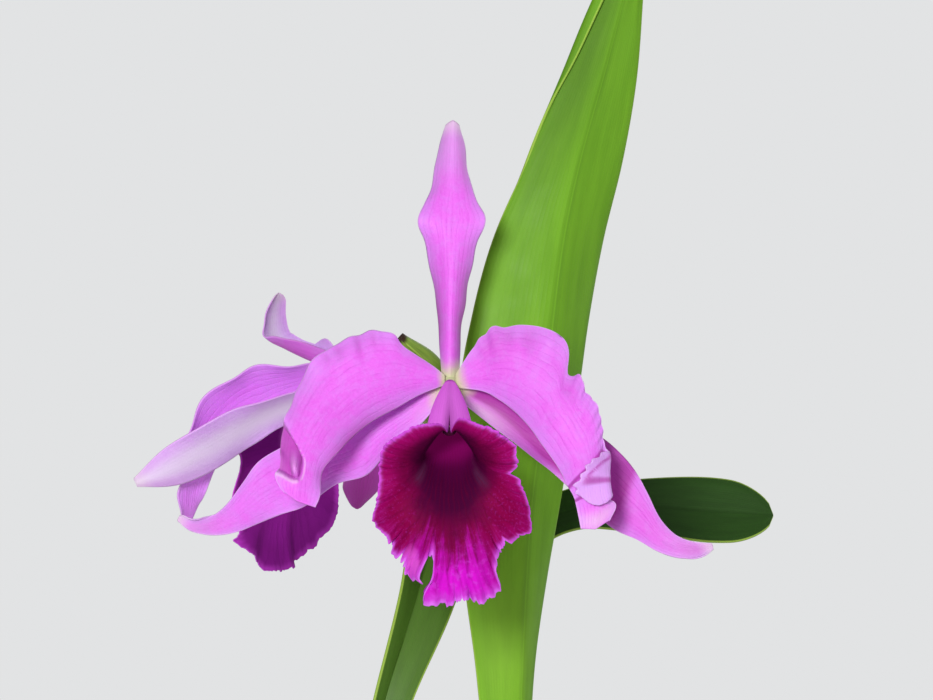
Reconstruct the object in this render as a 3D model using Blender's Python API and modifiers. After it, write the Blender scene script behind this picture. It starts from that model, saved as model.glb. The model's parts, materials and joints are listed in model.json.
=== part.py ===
"""A cattleya orchid in flower, growing in a plain clay pot of bark.

The plant stands on its pot at the origin, +Z up, and the front bloom looks along -Y. Sizes are millimetres,
turned into Blender's metres by MM where a mesh or a curve is made. Every petal, sepal, leaf and bract is a
blade: a flat grid bent along a spine, folded and curled across it, waved at its margins and given thickness.
"""

import math
import random
from dataclasses import dataclass, field

import bmesh
import bpy
from mathutils import Vector

MM = 0.001
CLEARANCE = 0.3

# Driving sizes of the pot and its filling
POT_HEIGHT = 125.0
POT_RIM_RADIUS = 78.0
POT_SHOULDER_RADIUS = 73.0
POT_FOOT_RADIUS = 52.0
POT_WALL = 6.0
POT_FLOOR = 8.0
POT_RIM_BAND = 24.0
POT_LIP_ROUND = 2.0
POT_EASE = 5.0
POT_SEGMENTS = 36
DRAIN_HOLES = 3
DRAIN_RADIUS = 6.0
DRAIN_CIRCLE = 24.0
DRAIN_SIDES = 16
BARK_TOP = 110.0
BARK_AIR_GAP = 9.0
BARK_SIDE_GAP = 0.5
BARK_CHIPS = 38
CHIP_SIZE = (18.0, 12.0, 8.0)
CHIP_RING = 50.0
CHIP_TILT = 0.45
GOLDEN_ANGLE = math.pi * (3 - math.sqrt(5))

# The plant's three growths, as (base, apex) of each pseudobulb's axis
STUB_TOP = 121.0
BULB_TALL = (Vector((14, -7, STUB_TOP)), Vector((16.5, -9, 273)))
BULB_LEFT = (Vector((-20, -12, STUB_TOP)), Vector((-30, -18, 293)))
BULB_REAR = (Vector((10, 32, STUB_TOP)), Vector((13, 40, 281)))
RHIZOME_RADIUS = 6.0
RHIZOME_LEVEL = 113.0

# The two blooms: where each column joins its stalk, and how far the bloom is turned from facing -Y
FRONT_CENTRE = Vector((-4, -55, 430))
FRONT_TURN = 0.0
REAR_CENTRE = Vector((-34, 12, 429))
REAR_TURN = -125.0
TEPAL = 0.8

PETAL_PINK = (0.78, 0.22, 0.72)
LIP_CRIMSON = (0.42, 0.01, 0.16)
LEAF_GREEN = (0.22, 0.42, 0.05)


def through(keys, x):
    """A smooth curve through (place, value) keys, read at x. Values are numbers or Vectors."""
    if x <= keys[0][0]:
        return keys[0][1]
    if x >= keys[-1][0]:
        return keys[-1][1]
    i = next(n for n in range(len(keys) - 1) if keys[n][0] <= x <= keys[n + 1][0])

    def slope(n):
        low, high = max(n - 1, 0), min(n + 1, len(keys) - 1)
        return (keys[high][1] - keys[low][1]) / (keys[high][0] - keys[low][0])

    (x0, y0), (x1, y1) = keys[i], keys[i + 1]
    step = x1 - x0
    t = (x - x0) / step
    return (
        y0 * (2 * t**3 - 3 * t**2 + 1)
        + slope(i) * (step * (t**3 - 2 * t**2 + t))
        + y1 * (3 * t**2 - 2 * t**3)
        + slope(i + 1) * (step * (t**3 - t**2))
    )


def spread(values, t):
    """A smooth curve through values that are evenly spaced from t = 0 to t = 1."""
    last = len(values) - 1
    return through([(n / last, value) for n, value in enumerate(values)], t)


@dataclass
class Blade:
    """A thin organ. Lists run from its base to its tip, and right is seen from the front with the tip up."""

    spine: list
    facing: list
    right: list
    left: list
    fold: list = field(default_factory=lambda: [0, 0])
    curl_right: list = field(default_factory=lambda: [0, 0])
    curl_left: list = field(default_factory=lambda: [0, 0])
    waves: list = field(default_factory=list)
    thickness: float = TEPAL
    cells: tuple = (14, 8)


def blade_point(blade, u, v):
    """The point of the blade's middle surface at u along it (0 to 1) and v across it (-1 left, 1 right)."""
    points = [Vector(p) for p in blade.spine]
    centre = spread(points, u)
    nudge = 0.01
    along = (spread(points, min(u + nudge, 1)) - spread(points, max(u - nudge, 0))).normalized()
    front = spread([Vector(f) for f in blade.facing], u)
    front = (front - along * front.dot(along)).normalized()
    side = along.cross(front)
    half, curls = (blade.right, blade.curl_right) if v > 0 else (blade.left, blade.curl_left)
    width, reach = spread(half, u), abs(v)
    fold, curl = math.radians(spread(blade.fold, u)), math.radians(spread(curls, u))
    if abs(curl) < 1e-3:
        across, rise = reach * math.cos(fold), reach * math.sin(fold)
    else:
        across = (math.sin(fold + curl * reach) - math.sin(fold)) / curl
        rise = (math.cos(fold) - math.cos(fold + curl * reach)) / curl
    rise *= width
    for edge, height, count, phase in blade.waves:
        if edge * v >= 0:
            swell = math.sin(math.pi * min(u, 1)) ** 0.5 if u < 1 else 0
            rise += height * reach**3 * swell * math.sin(2 * math.pi * (count * u + phase))
    return centre + side * math.copysign(across * width, v) + front * rise


def grid_mesh(name, cells, place):
    """A grid of cells whose corners place(u, v) puts in space, with u from 0 to 1 and v from -1 to 1."""
    made = bmesh.new()
    bmesh.ops.create_grid(made, x_segments=cells[0], y_segments=cells[1], size=0.5)
    for corner in made.verts:
        corner.co = place(corner.co.x + 0.5, corner.co.y * 2) * MM
    bmesh.ops.triangulate(made, faces=made.faces, quad_method="SHORT_EDGE")
    mesh = bpy.data.meshes.new(name)
    made.to_mesh(mesh)
    made.free()
    mesh.shade_smooth()
    return mesh


def material(name, colour, roughness):
    """A plain Principled material with the part's colour."""
    made = bpy.data.materials.get(name) or bpy.data.materials.new(name)
    made.use_nodes = True
    shader = made.node_tree.nodes["Principled BSDF"]
    shader.inputs["Base Color"].default_value = (*colour, 1)
    shader.inputs["Roughness"].default_value = roughness
    shader.inputs["Metallic"].default_value = 0
    made.diffuse_color = (*colour, 1)
    return made


def add_object(name, data, finish, parent=None):
    """A new object of the plant's collection, with its material and an empty that carries it."""
    obj = bpy.data.objects.new(name, data)
    PLANT.objects.link(obj)
    obj.parent = parent
    data.materials.clear()
    data.materials.append(finish)
    return obj


def move_to_plant(obj):
    """Takes an object that an operator has made into the plant's collection."""
    for collection in obj.users_collection:
        collection.objects.unlink(obj)
    PLANT.objects.link(obj)


def add_thickness(obj, thickness):
    shell = obj.modifiers.new("Thickness", "SOLIDIFY")
    shell.thickness = thickness * MM
    shell.offset = 0
    shell.use_quality_normals = True


def add_blade(name, blade, finish, parent=None):
    mesh = grid_mesh(name, blade.cells, lambda u, v: blade_point(blade, u, v))
    obj = add_object(name, mesh, finish, parent)
    add_thickness(obj, blade.thickness)
    return obj


def tube_curve(name, points, radii, sides=8):
    """A round stem through points, with its own radius at each."""
    curve = bpy.data.curves.new(name, "CURVE")
    curve.dimensions = "3D"
    curve.use_fill_caps = True
    curve.bevel_depth = MM
    curve.bevel_resolution = sides // 4
    spline = curve.splines.new("POLY")
    spline.points.add(len(points) - 1)
    for corner, point, radius in zip(spline.points, points, radii):
        corner.co = (*(point * MM), 1)
        corner.radius = radius
    return curve


def smooth_tube(name, route, radii, steps, sides=8):
    """A stem that runs smoothly through the route's few points."""
    places = [n / steps for n in range(steps + 1)]
    points = [spread([Vector(p) for p in route], t) for t in places]
    return tube_curve(name, points, [spread(radii, t) for t in places], sides)


def as_mesh(name, curve):
    """A curve's tube as a closed mesh object, ready for a Boolean."""
    guide = bpy.data.objects.new(name + "_guide", curve)
    PLANT.objects.link(guide)
    bpy.context.view_layer.update()
    graph = bpy.context.evaluated_depsgraph_get()
    mesh = bpy.data.meshes.new_from_object(guide.evaluated_get(graph))
    welded = bmesh.new()
    welded.from_mesh(mesh)
    bmesh.ops.remove_doubles(welded, verts=welded.verts, dist=1e-6)
    bmesh.ops.recalc_face_normals(welded, faces=welded.faces)
    welded.to_mesh(mesh)
    welded.free()
    made = bpy.data.objects.new(name, mesh)
    made.matrix_world = guide.matrix_world
    PLANT.objects.link(made)
    bpy.data.objects.remove(guide)
    return made


def apply_modifiers(obj):
    """Puts the mesh that the object's modifiers make in place of its own."""
    bpy.context.view_layer.update()
    graph = bpy.context.evaluated_depsgraph_get()
    made = bpy.data.meshes.new_from_object(obj.evaluated_get(graph))
    obj.modifiers.clear()
    obj.data = made


def combine(obj, others, operation):
    """Joins the others to obj, or cuts them from it, by one Boolean on their collection, and removes them."""
    tools = bpy.data.collections.new(obj.name + "_tools")
    HELPERS.children.link(tools)
    for other in others:
        for collection in other.users_collection:
            collection.objects.unlink(other)
        tools.objects.link(other)
        other.hide_render = True
        other.display_type = "WIRE"
    step = obj.modifiers.new(operation.title(), "BOOLEAN")
    step.operation = operation
    step.solver = "EXACT"
    step.operand_type = "COLLECTION"
    step.collection = tools
    apply_modifiers(obj)
    for other in others:
        bpy.data.objects.remove(other)
    bpy.data.collections.remove(tools)


def keep_largest(obj):
    """Drops the crumbs that a cut has left beside the main piece."""
    whole = bmesh.new()
    whole.from_mesh(obj.data)
    left, pieces = set(whole.verts), []
    while left:
        piece, edge = set(), [left.pop()]
        while edge:
            corner = edge.pop()
            piece.add(corner)
            near = {line.other_vert(corner) for line in corner.link_edges} & left
            left -= near
            edge.extend(near)
        pieces.append(piece)
    main_piece = max(pieces, key=len)
    crumbs = [corner for corner in whole.verts if corner not in main_piece]
    bmesh.ops.delete(whole, geom=crumbs, context="VERTS")
    whole.to_mesh(obj.data)
    whole.free()


# Pot and bark


def pot_inner_radius(height):
    """The pot's inside radius at a height above its foot."""
    slope = (POT_SHOULDER_RADIUS - POT_FOOT_RADIUS) / POT_HEIGHT
    return POT_FOOT_RADIUS + slope * height - POT_WALL


def pot_profile():
    """Half of the pot's cross-section as (radius, height), up its inside and down its outside."""
    band = POT_HEIGHT - POT_RIM_BAND
    floor_edge = POT_FLOOR + POT_EASE
    inside = [
        (0, POT_FLOOR),
        (pot_inner_radius(floor_edge) - POT_EASE, POT_FLOOR),
        (pot_inner_radius(floor_edge), floor_edge),
        (pot_inner_radius(band), band),
        (pot_inner_radius(POT_HEIGHT), POT_HEIGHT - POT_LIP_ROUND),
        (pot_inner_radius(POT_HEIGHT) + POT_LIP_ROUND, POT_HEIGHT),
    ]
    outside = [
        (POT_RIM_RADIUS - POT_LIP_ROUND, POT_HEIGHT),
        (POT_RIM_RADIUS, POT_HEIGHT - POT_LIP_ROUND),
        (POT_RIM_RADIUS - POT_LIP_ROUND, band + POT_LIP_ROUND),
        (POT_RIM_RADIUS - 2 * POT_LIP_ROUND, band),
        (pot_inner_radius(band) + POT_WALL, band - POT_LIP_ROUND),
        (POT_FOOT_RADIUS, POT_LIP_ROUND),
        (POT_FOOT_RADIUS - POT_LIP_ROUND, 0),
        (0, 0),
    ]
    return inside + outside


def add_pot(finish):
    """The clay pot, turned from its profile, with drain holes through its floor."""
    corners = [(radius * MM, 0, height * MM) for radius, height in pot_profile()]
    mesh = bpy.data.meshes.new("pot")
    mesh.from_pydata(corners, [(n, n + 1) for n in range(len(corners) - 1)], [])
    pot = add_object("pot", mesh, finish)
    turn = pot.modifiers.new("Turn", "SCREW")
    turn.steps = turn.render_steps = POT_SEGMENTS
    turn.use_merge_vertices = True
    turn.merge_threshold = 1e-5
    cutters = []
    for n in range(DRAIN_HOLES):
        angle = 2 * math.pi * (n + 0.25) / DRAIN_HOLES
        middle = Vector((DRAIN_CIRCLE * math.cos(angle), DRAIN_CIRCLE * math.sin(angle), POT_FLOOR / 2))
        bpy.ops.mesh.primitive_cylinder_add(
            vertices=DRAIN_SIDES, radius=DRAIN_RADIUS * MM, depth=3 * POT_FLOOR * MM, location=middle * MM
        )
        cutters.append(bpy.context.object)
    combine(pot, cutters, "DIFFERENCE")
    pot.data.shade_smooth()
    pot.data.set_sharp_from_angle(angle=math.radians(35))


def add_bark(finish, buried):
    """A plug of bark with loose chips on top, with plain holes for what stands in it."""
    low = POT_FLOOR + CLEARANCE
    bpy.ops.mesh.primitive_cone_add(
        vertices=POT_SEGMENTS,
        radius1=(pot_inner_radius(low + POT_EASE) - POT_EASE - BARK_SIDE_GAP) * MM,
        radius2=(pot_inner_radius(BARK_TOP) - BARK_SIDE_GAP) * MM,
        depth=(BARK_TOP - low) * MM,
        location=(0, 0, 0.5 * (BARK_TOP + low) * MM),
    )
    bark = bpy.context.object
    bark.name = "potting_bark"
    move_to_plant(bark)
    draw = random.Random(7)
    chips = []
    for n in range(BARK_CHIPS):
        distance = CHIP_RING * math.sqrt((n + 0.5) / BARK_CHIPS)
        angle = n * GOLDEN_ANGLE
        bpy.ops.mesh.primitive_cube_add(size=MM)
        chip = bpy.context.object
        chip.scale = [size * draw.uniform(0.75, 1.3) for size in CHIP_SIZE]
        lean = [draw.uniform(-CHIP_TILT, CHIP_TILT) for _ in range(2)]
        chip.rotation_euler = (*lean, draw.uniform(0, math.pi))
        height = BARK_TOP + draw.uniform(-1.0, 1.6)
        chip.location = Vector((distance * math.cos(angle), distance * math.sin(angle), height)) * MM
        chips.append(chip)
    combine(bark, chips, "UNION")
    bpy.ops.mesh.primitive_cylinder_add(
        vertices=20,
        radius=(DRAIN_CIRCLE + DRAIN_RADIUS + BARK_SIDE_GAP) * MM,
        depth=2 * BARK_AIR_GAP * MM,
        location=(0, 0, low * MM),
    )
    combine(bark, [bpy.context.object, *buried], "DIFFERENCE")
    keep_largest(bark)
    bark.data.materials.clear()
    bark.data.materials.append(finish)


# Rhizome, roots and pseudobulbs

RHIZOME_ROUTE = [
    Vector((14, 52, RHIZOME_LEVEL - 1)),
    Vector((10, 32, RHIZOME_LEVEL)),
    Vector((15, 12, RHIZOME_LEVEL)),
    Vector((14, -7, RHIZOME_LEVEL)),
    Vector((-3, -14, RHIZOME_LEVEL)),
    Vector((-20, -12, RHIZOME_LEVEL)),
    Vector((-36, -4, RHIZOME_LEVEL + 3)),
]
ROOT_ROUTES = [
    [(16, -8, 112), (28, -20, 117), (40, -27, 114), (46, -31, 100)],
    [(-22, -14, 112), (-25, -30, 117), (-35, -41, 115), (-38, -42, 99)],
    [(-20, -10, 112), (-36, -18, 117), (-50, -16, 113), (-54, -11, 98)],
    [(8, 34, 112), (-8, 38, 117), (-22, 42, 114), (-29, 43, 98)],
    [(12, 30, 112), (26, 32, 117), (38, 33, 114), (44, 32, 98)],
    [(14, -10, 112), (8, -28, 117), (10, -43, 115), (13, -51, 99)],
]
ROOT_RADIUS = 2.2
STUB_RADIUS = 5.2


def rhizome_pieces(extra):
    """The creeping stem, its upright stubs and its roots as closed meshes, all larger by extra each way."""

    def longer(points):
        points = [Vector(p) for p in points]
        points[0] = points[0] - (points[1] - points[0]).normalized() * extra
        points[-1] = points[-1] + (points[-1] - points[-2]).normalized() * extra
        return points

    radii = [RHIZOME_RADIUS + extra] * 6 + [2.5 + extra]
    shapes = [smooth_tube("rhizome", longer(RHIZOME_ROUTE), radii, 14, sides=12)]
    for base, _ in (BULB_TALL, BULB_LEFT, BULB_REAR):
        upright = longer([Vector((base.x, base.y, RHIZOME_LEVEL)), Vector((base.x, base.y, STUB_TOP))])
        shapes.append(tube_curve("stub", upright, [STUB_RADIUS + extra] * 2, sides=12))
    for points in ROOT_ROUTES:
        radii = [ROOT_RADIUS * share + extra for share in (1, 1, 0.9, 0.6)]
        shapes.append(smooth_tube("root", longer(points), radii, 6, sides=4))
    return [as_mesh(shape.name, shape) for shape in shapes]


def join_stems(name, stems, finish):
    """One smooth solid made of stems that run into each other."""
    main_stem, *branches = stems
    main_stem.name = name
    combine(main_stem, branches, "UNION")
    main_stem.data.materials.clear()
    main_stem.data.materials.append(finish)
    main_stem.data.shade_smooth()


def add_rhizome(finish):
    join_stems("rhizome", rhizome_pieces(0), finish)


BULB_RADII = [5.4, 6.4, 8.6, 11.2, 13.0, 13.4, 12.4, 10.2, 7.6, 6.6]
BULB_RINGS = 12
BULB_RIDGES = 9
BULB_FURROW = 0.1
HUSK_FOOT = 0.02
HUSK_WRAP = 158.0
HUSK_SPARE = 1.1
HUSK_TEAR = 0.1
HUSK_TEARS = 5.3
HUSK_THICKNESS = 0.6


def bulb_axis(bulb, t):
    """The point of a pseudobulb's bowed axis at t, from 0 at its foot to 1 at its apex."""
    base, apex = bulb
    lean = Vector((apex.x - base.x, apex.y - base.y, 0))
    bow = lean * (-0.25 * math.sin(math.pi * t))
    lift = Vector((0, 0, CLEARANCE))
    return (base + lift).lerp(apex, t) + bow


def add_bulb(name, bulb, finish, girth):
    """A pseudobulb: a ball drawn out along its axis, furrowed all round and flat at both ends."""
    made = bmesh.new()
    bmesh.ops.create_uvsphere(made, u_segments=2 * BULB_RIDGES, v_segments=BULB_RINGS + 2, radius=1)
    for corner in made.verts:
        ring = math.acos(max(-1, min(1, -corner.co.z))) / math.pi * (BULB_RINGS + 2)
        t = max(0, min(1, (ring - 1) / BULB_RINGS))
        angle = math.atan2(corner.co.y, corner.co.x)
        furrow = 1 - BULB_FURROW * math.sin(BULB_RIDGES * angle * 0.5) ** 2 * math.sin(math.pi * t)
        radius = girth * spread(BULB_RADII, t) * furrow if 0.5 < ring < BULB_RINGS + 1.5 else 0
        corner.co = (bulb_axis(bulb, t) + Vector((math.cos(angle), math.sin(angle), 0)) * radius) * MM
    bmesh.ops.triangulate(made, faces=made.faces)
    mesh = bpy.data.meshes.new(name)
    made.to_mesh(mesh)
    made.free()
    mesh.shade_smooth()
    mesh.set_sharp_from_angle(angle=math.radians(60))
    return add_object(name, mesh, finish)


def add_husk(name, bulb, girth, top, opening, finish):
    """A dry papery bract wrapped round the lower part of a pseudobulb, open along one side."""

    def place(u, v):
        torn = 1 - HUSK_TEAR * abs(math.sin(HUSK_TEARS * v)) * u
        t = HUSK_FOOT + (top - HUSK_FOOT) * u * torn
        radius = girth * spread(BULB_RADII, t) + HUSK_SPARE * (1 + u)
        angle = math.radians(opening + v * HUSK_WRAP)
        return bulb_axis(bulb, t) + Vector((math.cos(angle), math.sin(angle), 0)) * radius

    obj = add_object(name, grid_mesh(name, (4, 12), place), finish)
    add_thickness(obj, HUSK_THICKNESS)


# Leaves

LEAF_TALL = Blade(
    spine=[
        (19, -12.6, 273.6),
        (19, -13.5, 311),
        (20, -15, 350),
        (22.5, -17, 390),
        (28, -18, 430),
        (32.5, -17, 470),
        (40, -14, 509),
        (52, -11, 550),
        (62.5, -8, 592),
    ],
    facing=[
        (-0.59, 0.81, 0),
        (-0.59, 0.81, 0),
        (-0.6, 0.8, 0),
        (-0.52, 0.86, 0),
        (-0.54, 0.84, 0),
        (-0.46, 0.88, 0),
        (-0.28, 0.96, 0),
        (-0.1, 1, 0),
        (0.1, 1, 0),
    ],
    right=[8.5, 12, 18, 22.5, 27, 26, 18.5, 11, 1.2],
    left=[7, 10.5, 18, 22.5, 27, 25.5, 20, 9.5, 1.2],
    fold=[0, 34, 35, 31, 33, 30, 26, 30, 36],
    curl_right=[102, 10, 0, 0, 0, -10, -50, -50, 0],
    curl_left=[80, 10, 4, 2, 0, 0, -6, -8, 0],
    thickness=1.8,
    cells=(18, 6),
)
LEAF_LEFT = Blade(
    spine=[
        (-33, -13.4, 295),
        (-26.5, -12, 324),
        (-17.5, -1, 352),
        (-9.5, 17.5, 377),
        (5, 34, 402),
        (18, 50, 428),
        (29, 64, 456),
        (37, 76, 486),
        (43, 84, 516),
    ],
    facing=[
        (0.5, -0.85, 0.1), (0.5, -0.85, 0.2), (0.45, -0.8, 0.4), (0.3, -0.75, 0.6),
        (0.2, -0.7, 0.6), (0, -0.8, 0.6),
    ],
    right=[8, 9.5, 13, 15.5, 17.5, 17.5, 14.5, 9.5, 1.2],
    left=[8, 6.5, 9.5, 12.5, 16, 17.5, 14.5, 9.5, 1.2],
    fold=[0, 32, 30, 26, 22, 20, 20, 24, 30],
    curl_right=[100, 6, 0, -6, -8, -8, -6, -4, 0],
    curl_left=[100, 6, 0, -6, -8, -8, -6, -4, 0],
    thickness=1.8,
    cells=(16, 6),
)
LEAF_REAR = Blade(
    spine=[
        (8.5, 41, 282.6),
        (11, 43.5, 304),
        (13, 45.5, 328),
        (15.5, 47.5, 351),
        (22, 49, 373),
        (41, 50, 383.5),
        (65, 50, 384.4),
        (89, 51, 382.7),
        (112, 52, 381.3),
    ],
    facing=[
        (1, 0, 0),
        (0.9, -0.4, 0.2),
        (0.5, -0.8, 0.4),
        (0, -0.85, 0.5),
        (-0.1, -0.85, 0.5),
        (-0.1, -0.85, 0.5),
        (-0.1, -0.86, 0.5),
    ],
    right=[7.5, 7.5, 8, 8, 8, 8.5, 10.5, 12.5, 5],
    left=[7.5, 7.5, 8, 8, 8, 8.5, 10.5, 12.5, 5],
    fold=[0, 30, 26, 20, 16, 12, 12, 12, 10],
    curl_right=[102, 8, 0, -6, -8, -8, -8, -8, 0],
    curl_left=[102, 8, 0, -6, -8, -8, -8, -8, 0],
    thickness=1.8,
    cells=(16, 6),
)

# The flower sheath and the stalk that grows out of it

STALK_ROUTE = [(15.4, -8.4, 273.9), (13.2, -1.2, 310), (8.5, 2.5, 350), (3, 3.5, 384), (-2, -1, 404)]
FRONT_PEDICEL = [(-1, 0.5, 400), (-7, -8, 415), (-7, -22, 425), (-5, -39, 429.5), (-4, -55.1, 430)]
REAR_PEDICEL = [(0, 1, 394), (-5, 0, 408), (-14, 2.4, 420), (-24.5, 6.6, 427), (-33.84, 11.9, 429)]
STALK_RADII = [2.2, 2.2, 2.3, 2.5, 2.2]
PEDICEL_RADII = [1.9, 2.1, 2.4, 3.0, 2.9]
SHEATH = Blade(
    spine=[
        (18, -5.2, 274.2), (17, 2.7, 310), (13.5, 7, 350), (8, 7.5, 385), (1, 3.5, 415),
        (-8, -6, 435), (-20, -10, 444.3),
    ],
    facing=[
        (-0.7, -0.7, 0), (-0.75, -0.66, 0), (-0.75, -0.66, 0), (-0.7, -0.7, -0.1),
        (-0.6, -0.6, -0.5), (-0.2, -0.3, -1), (0, -0.1, -1),
    ],
    right=[7.5, 9, 10, 10, 7.5, 5, 1],
    left=[7.5, 9, 10, 10, 7.5, 5, 1],
    fold=[0, 0, 10, 20, 25, 25, 20],
    curl_right=[108, 110, 90, 55, 40, 40, 20],
    curl_left=[108, 110, 90, 55, 40, 40, 20],
    thickness=0.8,
    cells=(12, 6),
)


def add_stalk(finish):
    """The peduncle and the two pedicels, each of which ends in its ribbed ovary behind a bloom."""
    tubes = [
        smooth_tube("flower_stalk", STALK_ROUTE, STALK_RADII, 9),
        smooth_tube("pedicel", FRONT_PEDICEL, PEDICEL_RADII, 9),
        smooth_tube("pedicel", REAR_PEDICEL, PEDICEL_RADII, 9),
    ]
    join_stems("flower_stalk", [as_mesh(tube.name, tube) for tube in tubes], finish)


# Blooms. Each organ is written in its bloom's own frame: the centre at the origin, facing -Y, +Z up

BACKWARD = [(0, -1, 0), (0, -1, 0)]
FRONT_BLOOM = {
    "dorsal_sepal": Blade(
        spine=[
            (0, 2, 3.6), (0, 3, 19.3), (0.2, 4, 35.7), (0.8, 6, 52.2), (0.7, 10, 68.9),
            (0.7, 15, 85.5),
        ],
        facing=BACKWARD,
        right=[3.2, 6.5, 9.5, 11, 8, 1.6],
        left=[3.2, 6.5, 9.5, 10.6, 8, 1.6],
        curl_right=[-30, -112, -92, -25, -80, -40],
        curl_left=[-30, -112, -92, -25, -80, -40],
        cells=(16, 6),
    ),
    "left_sepal": Blade(
        spine=[
            (-3, 2.4, -2),
            (-14, 3, -7),
            (-26, 3, -15),
            (-38, 2, -22),
            (-50, 0, -30),
            (-61.5, -3, -36.5),
            (-73, -7, -44),
            (-86.4, -12, -42.8),
        ],
        facing=[(0, -1, 0), (0, -1, 0.3), (0, -1, 0.2), (0, -1, 0), (0.1, -1, 0)],
        right=[2.4, 7, 11.5, 12, 11.5, 8, 3.2, 0.9],
        left=[2.4, 7, 11.5, 12, 11.5, 8, 3.6, 0.9],
        curl_right=[0, -25, -25, -20, 0, 25, 60, 40],
        curl_left=[0, -30, -30, -20, 0, 10, 25, 20],
        waves=[(-1, 1.2, 2.5, 0.2)],
        cells=(14, 6),
    ),
    "right_sepal": Blade(
        spine=[
            (3, 2.4, -2),
            (13, 3, -6.5),
            (24.5, 3, -13),
            (35, 2, -20.5),
            (45.5, 1, -28),
            (55, 0, -36),
            (64.5, -3, -44.5),
            (74, -6, -52),
            (84.2, -9, -52),
        ],
        facing=[(0, -1, 0), (0, -1, 0.3), (0, -1, 0.2), (0, -1, 0), (-0.1, -1, 0)],
        right=[2.4, 5, 7.5, 9.5, 10.5, 9.5, 6, 3.4, 0.9],
        left=[2.4, 7, 9.5, 11, 10.8, 8.6, 5.2, 3.2, 0.9],
        curl_right=[0, -30, -30, -20, -10, 10, 25, 20, 10],
        curl_left=[0, -25, -25, -20, -10, 10, 30, 40, 30],
        waves=[(1, 1.0, 2.5, 0.1)],
        cells=(14, 6),
    ),
    "left_petal": Blade(
        spine=[
            (-3.2, -0.6, 1.6),
            (-10, -3, 4),
            (-20, -6.5, 4.3),
            (-29.6, -10, 0.9),
            (-39, -14, -8.2),
            (-44.4, -18, -19),
            (-47.5, -21, -28.5),
            (-48, -24, -36.5),
        ],
        facing=[
            (0, -1, 0), (0, -0.9, 0.35), (-0.2, -0.85, 0.45), (-0.35, -0.85, 0.3),
            (-0.2, -0.95, 0.1), (0, -1, 0),
        ],
        right=[2.2, 8.5, 15.2, 16.8, 14, 10, 8.5, 4],
        left=[2.2, 7.5, 13.4, 15.4, 14, 11, 9, 6],
        curl_right=[0, -15, -25, -30, -25, -10, 30, 20],
        curl_left=[0, -15, -25, -30, -30, -15, 0, 0],
        waves=[(1, 2.0, 4.5, 0.1), (-1, 1.2, 2.5, 0.0)],
        cells=(16, 8),
    ),
    "right_petal": Blade(
        spine=[
            (3.2, -0.6, 1.6),
            (12, -3.5, 6.9),
            (21.5, -7, 5.9),
            (30.8, -11, 0),
            (36, -14, -9),
            (40.7, -17, -18),
            (43.5, -19, -28),
            (46.8, -19, -37),
            (47, -22, -45),
        ],
        facing=[
            (0, -1, 0), (0, -0.9, 0.35), (0.2, -0.85, 0.45), (0.35, -0.85, 0.3), (0.2, -0.95, 0.1),
            (0, -0.9, 0.1), (0, -1, 0),
        ],
        right=[2.2, 9, 13.2, 14, 11.8, 10, 7.5, 6, 4],
        left=[2.2, 11.5, 14.4, 13.4, 11, 9.5, 7, 6, 4],
        curl_right=[0, -15, -25, -30, -30, -20, 0, 0],
        curl_left=[0, -15, -25, -30, -25, -15, 20, 0],
        waves=[(-1, 2.4, 4.5, 0.35), (1, 1.2, 2.5, 0.0)],
        cells=(16, 8),
    ),
}
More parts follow.
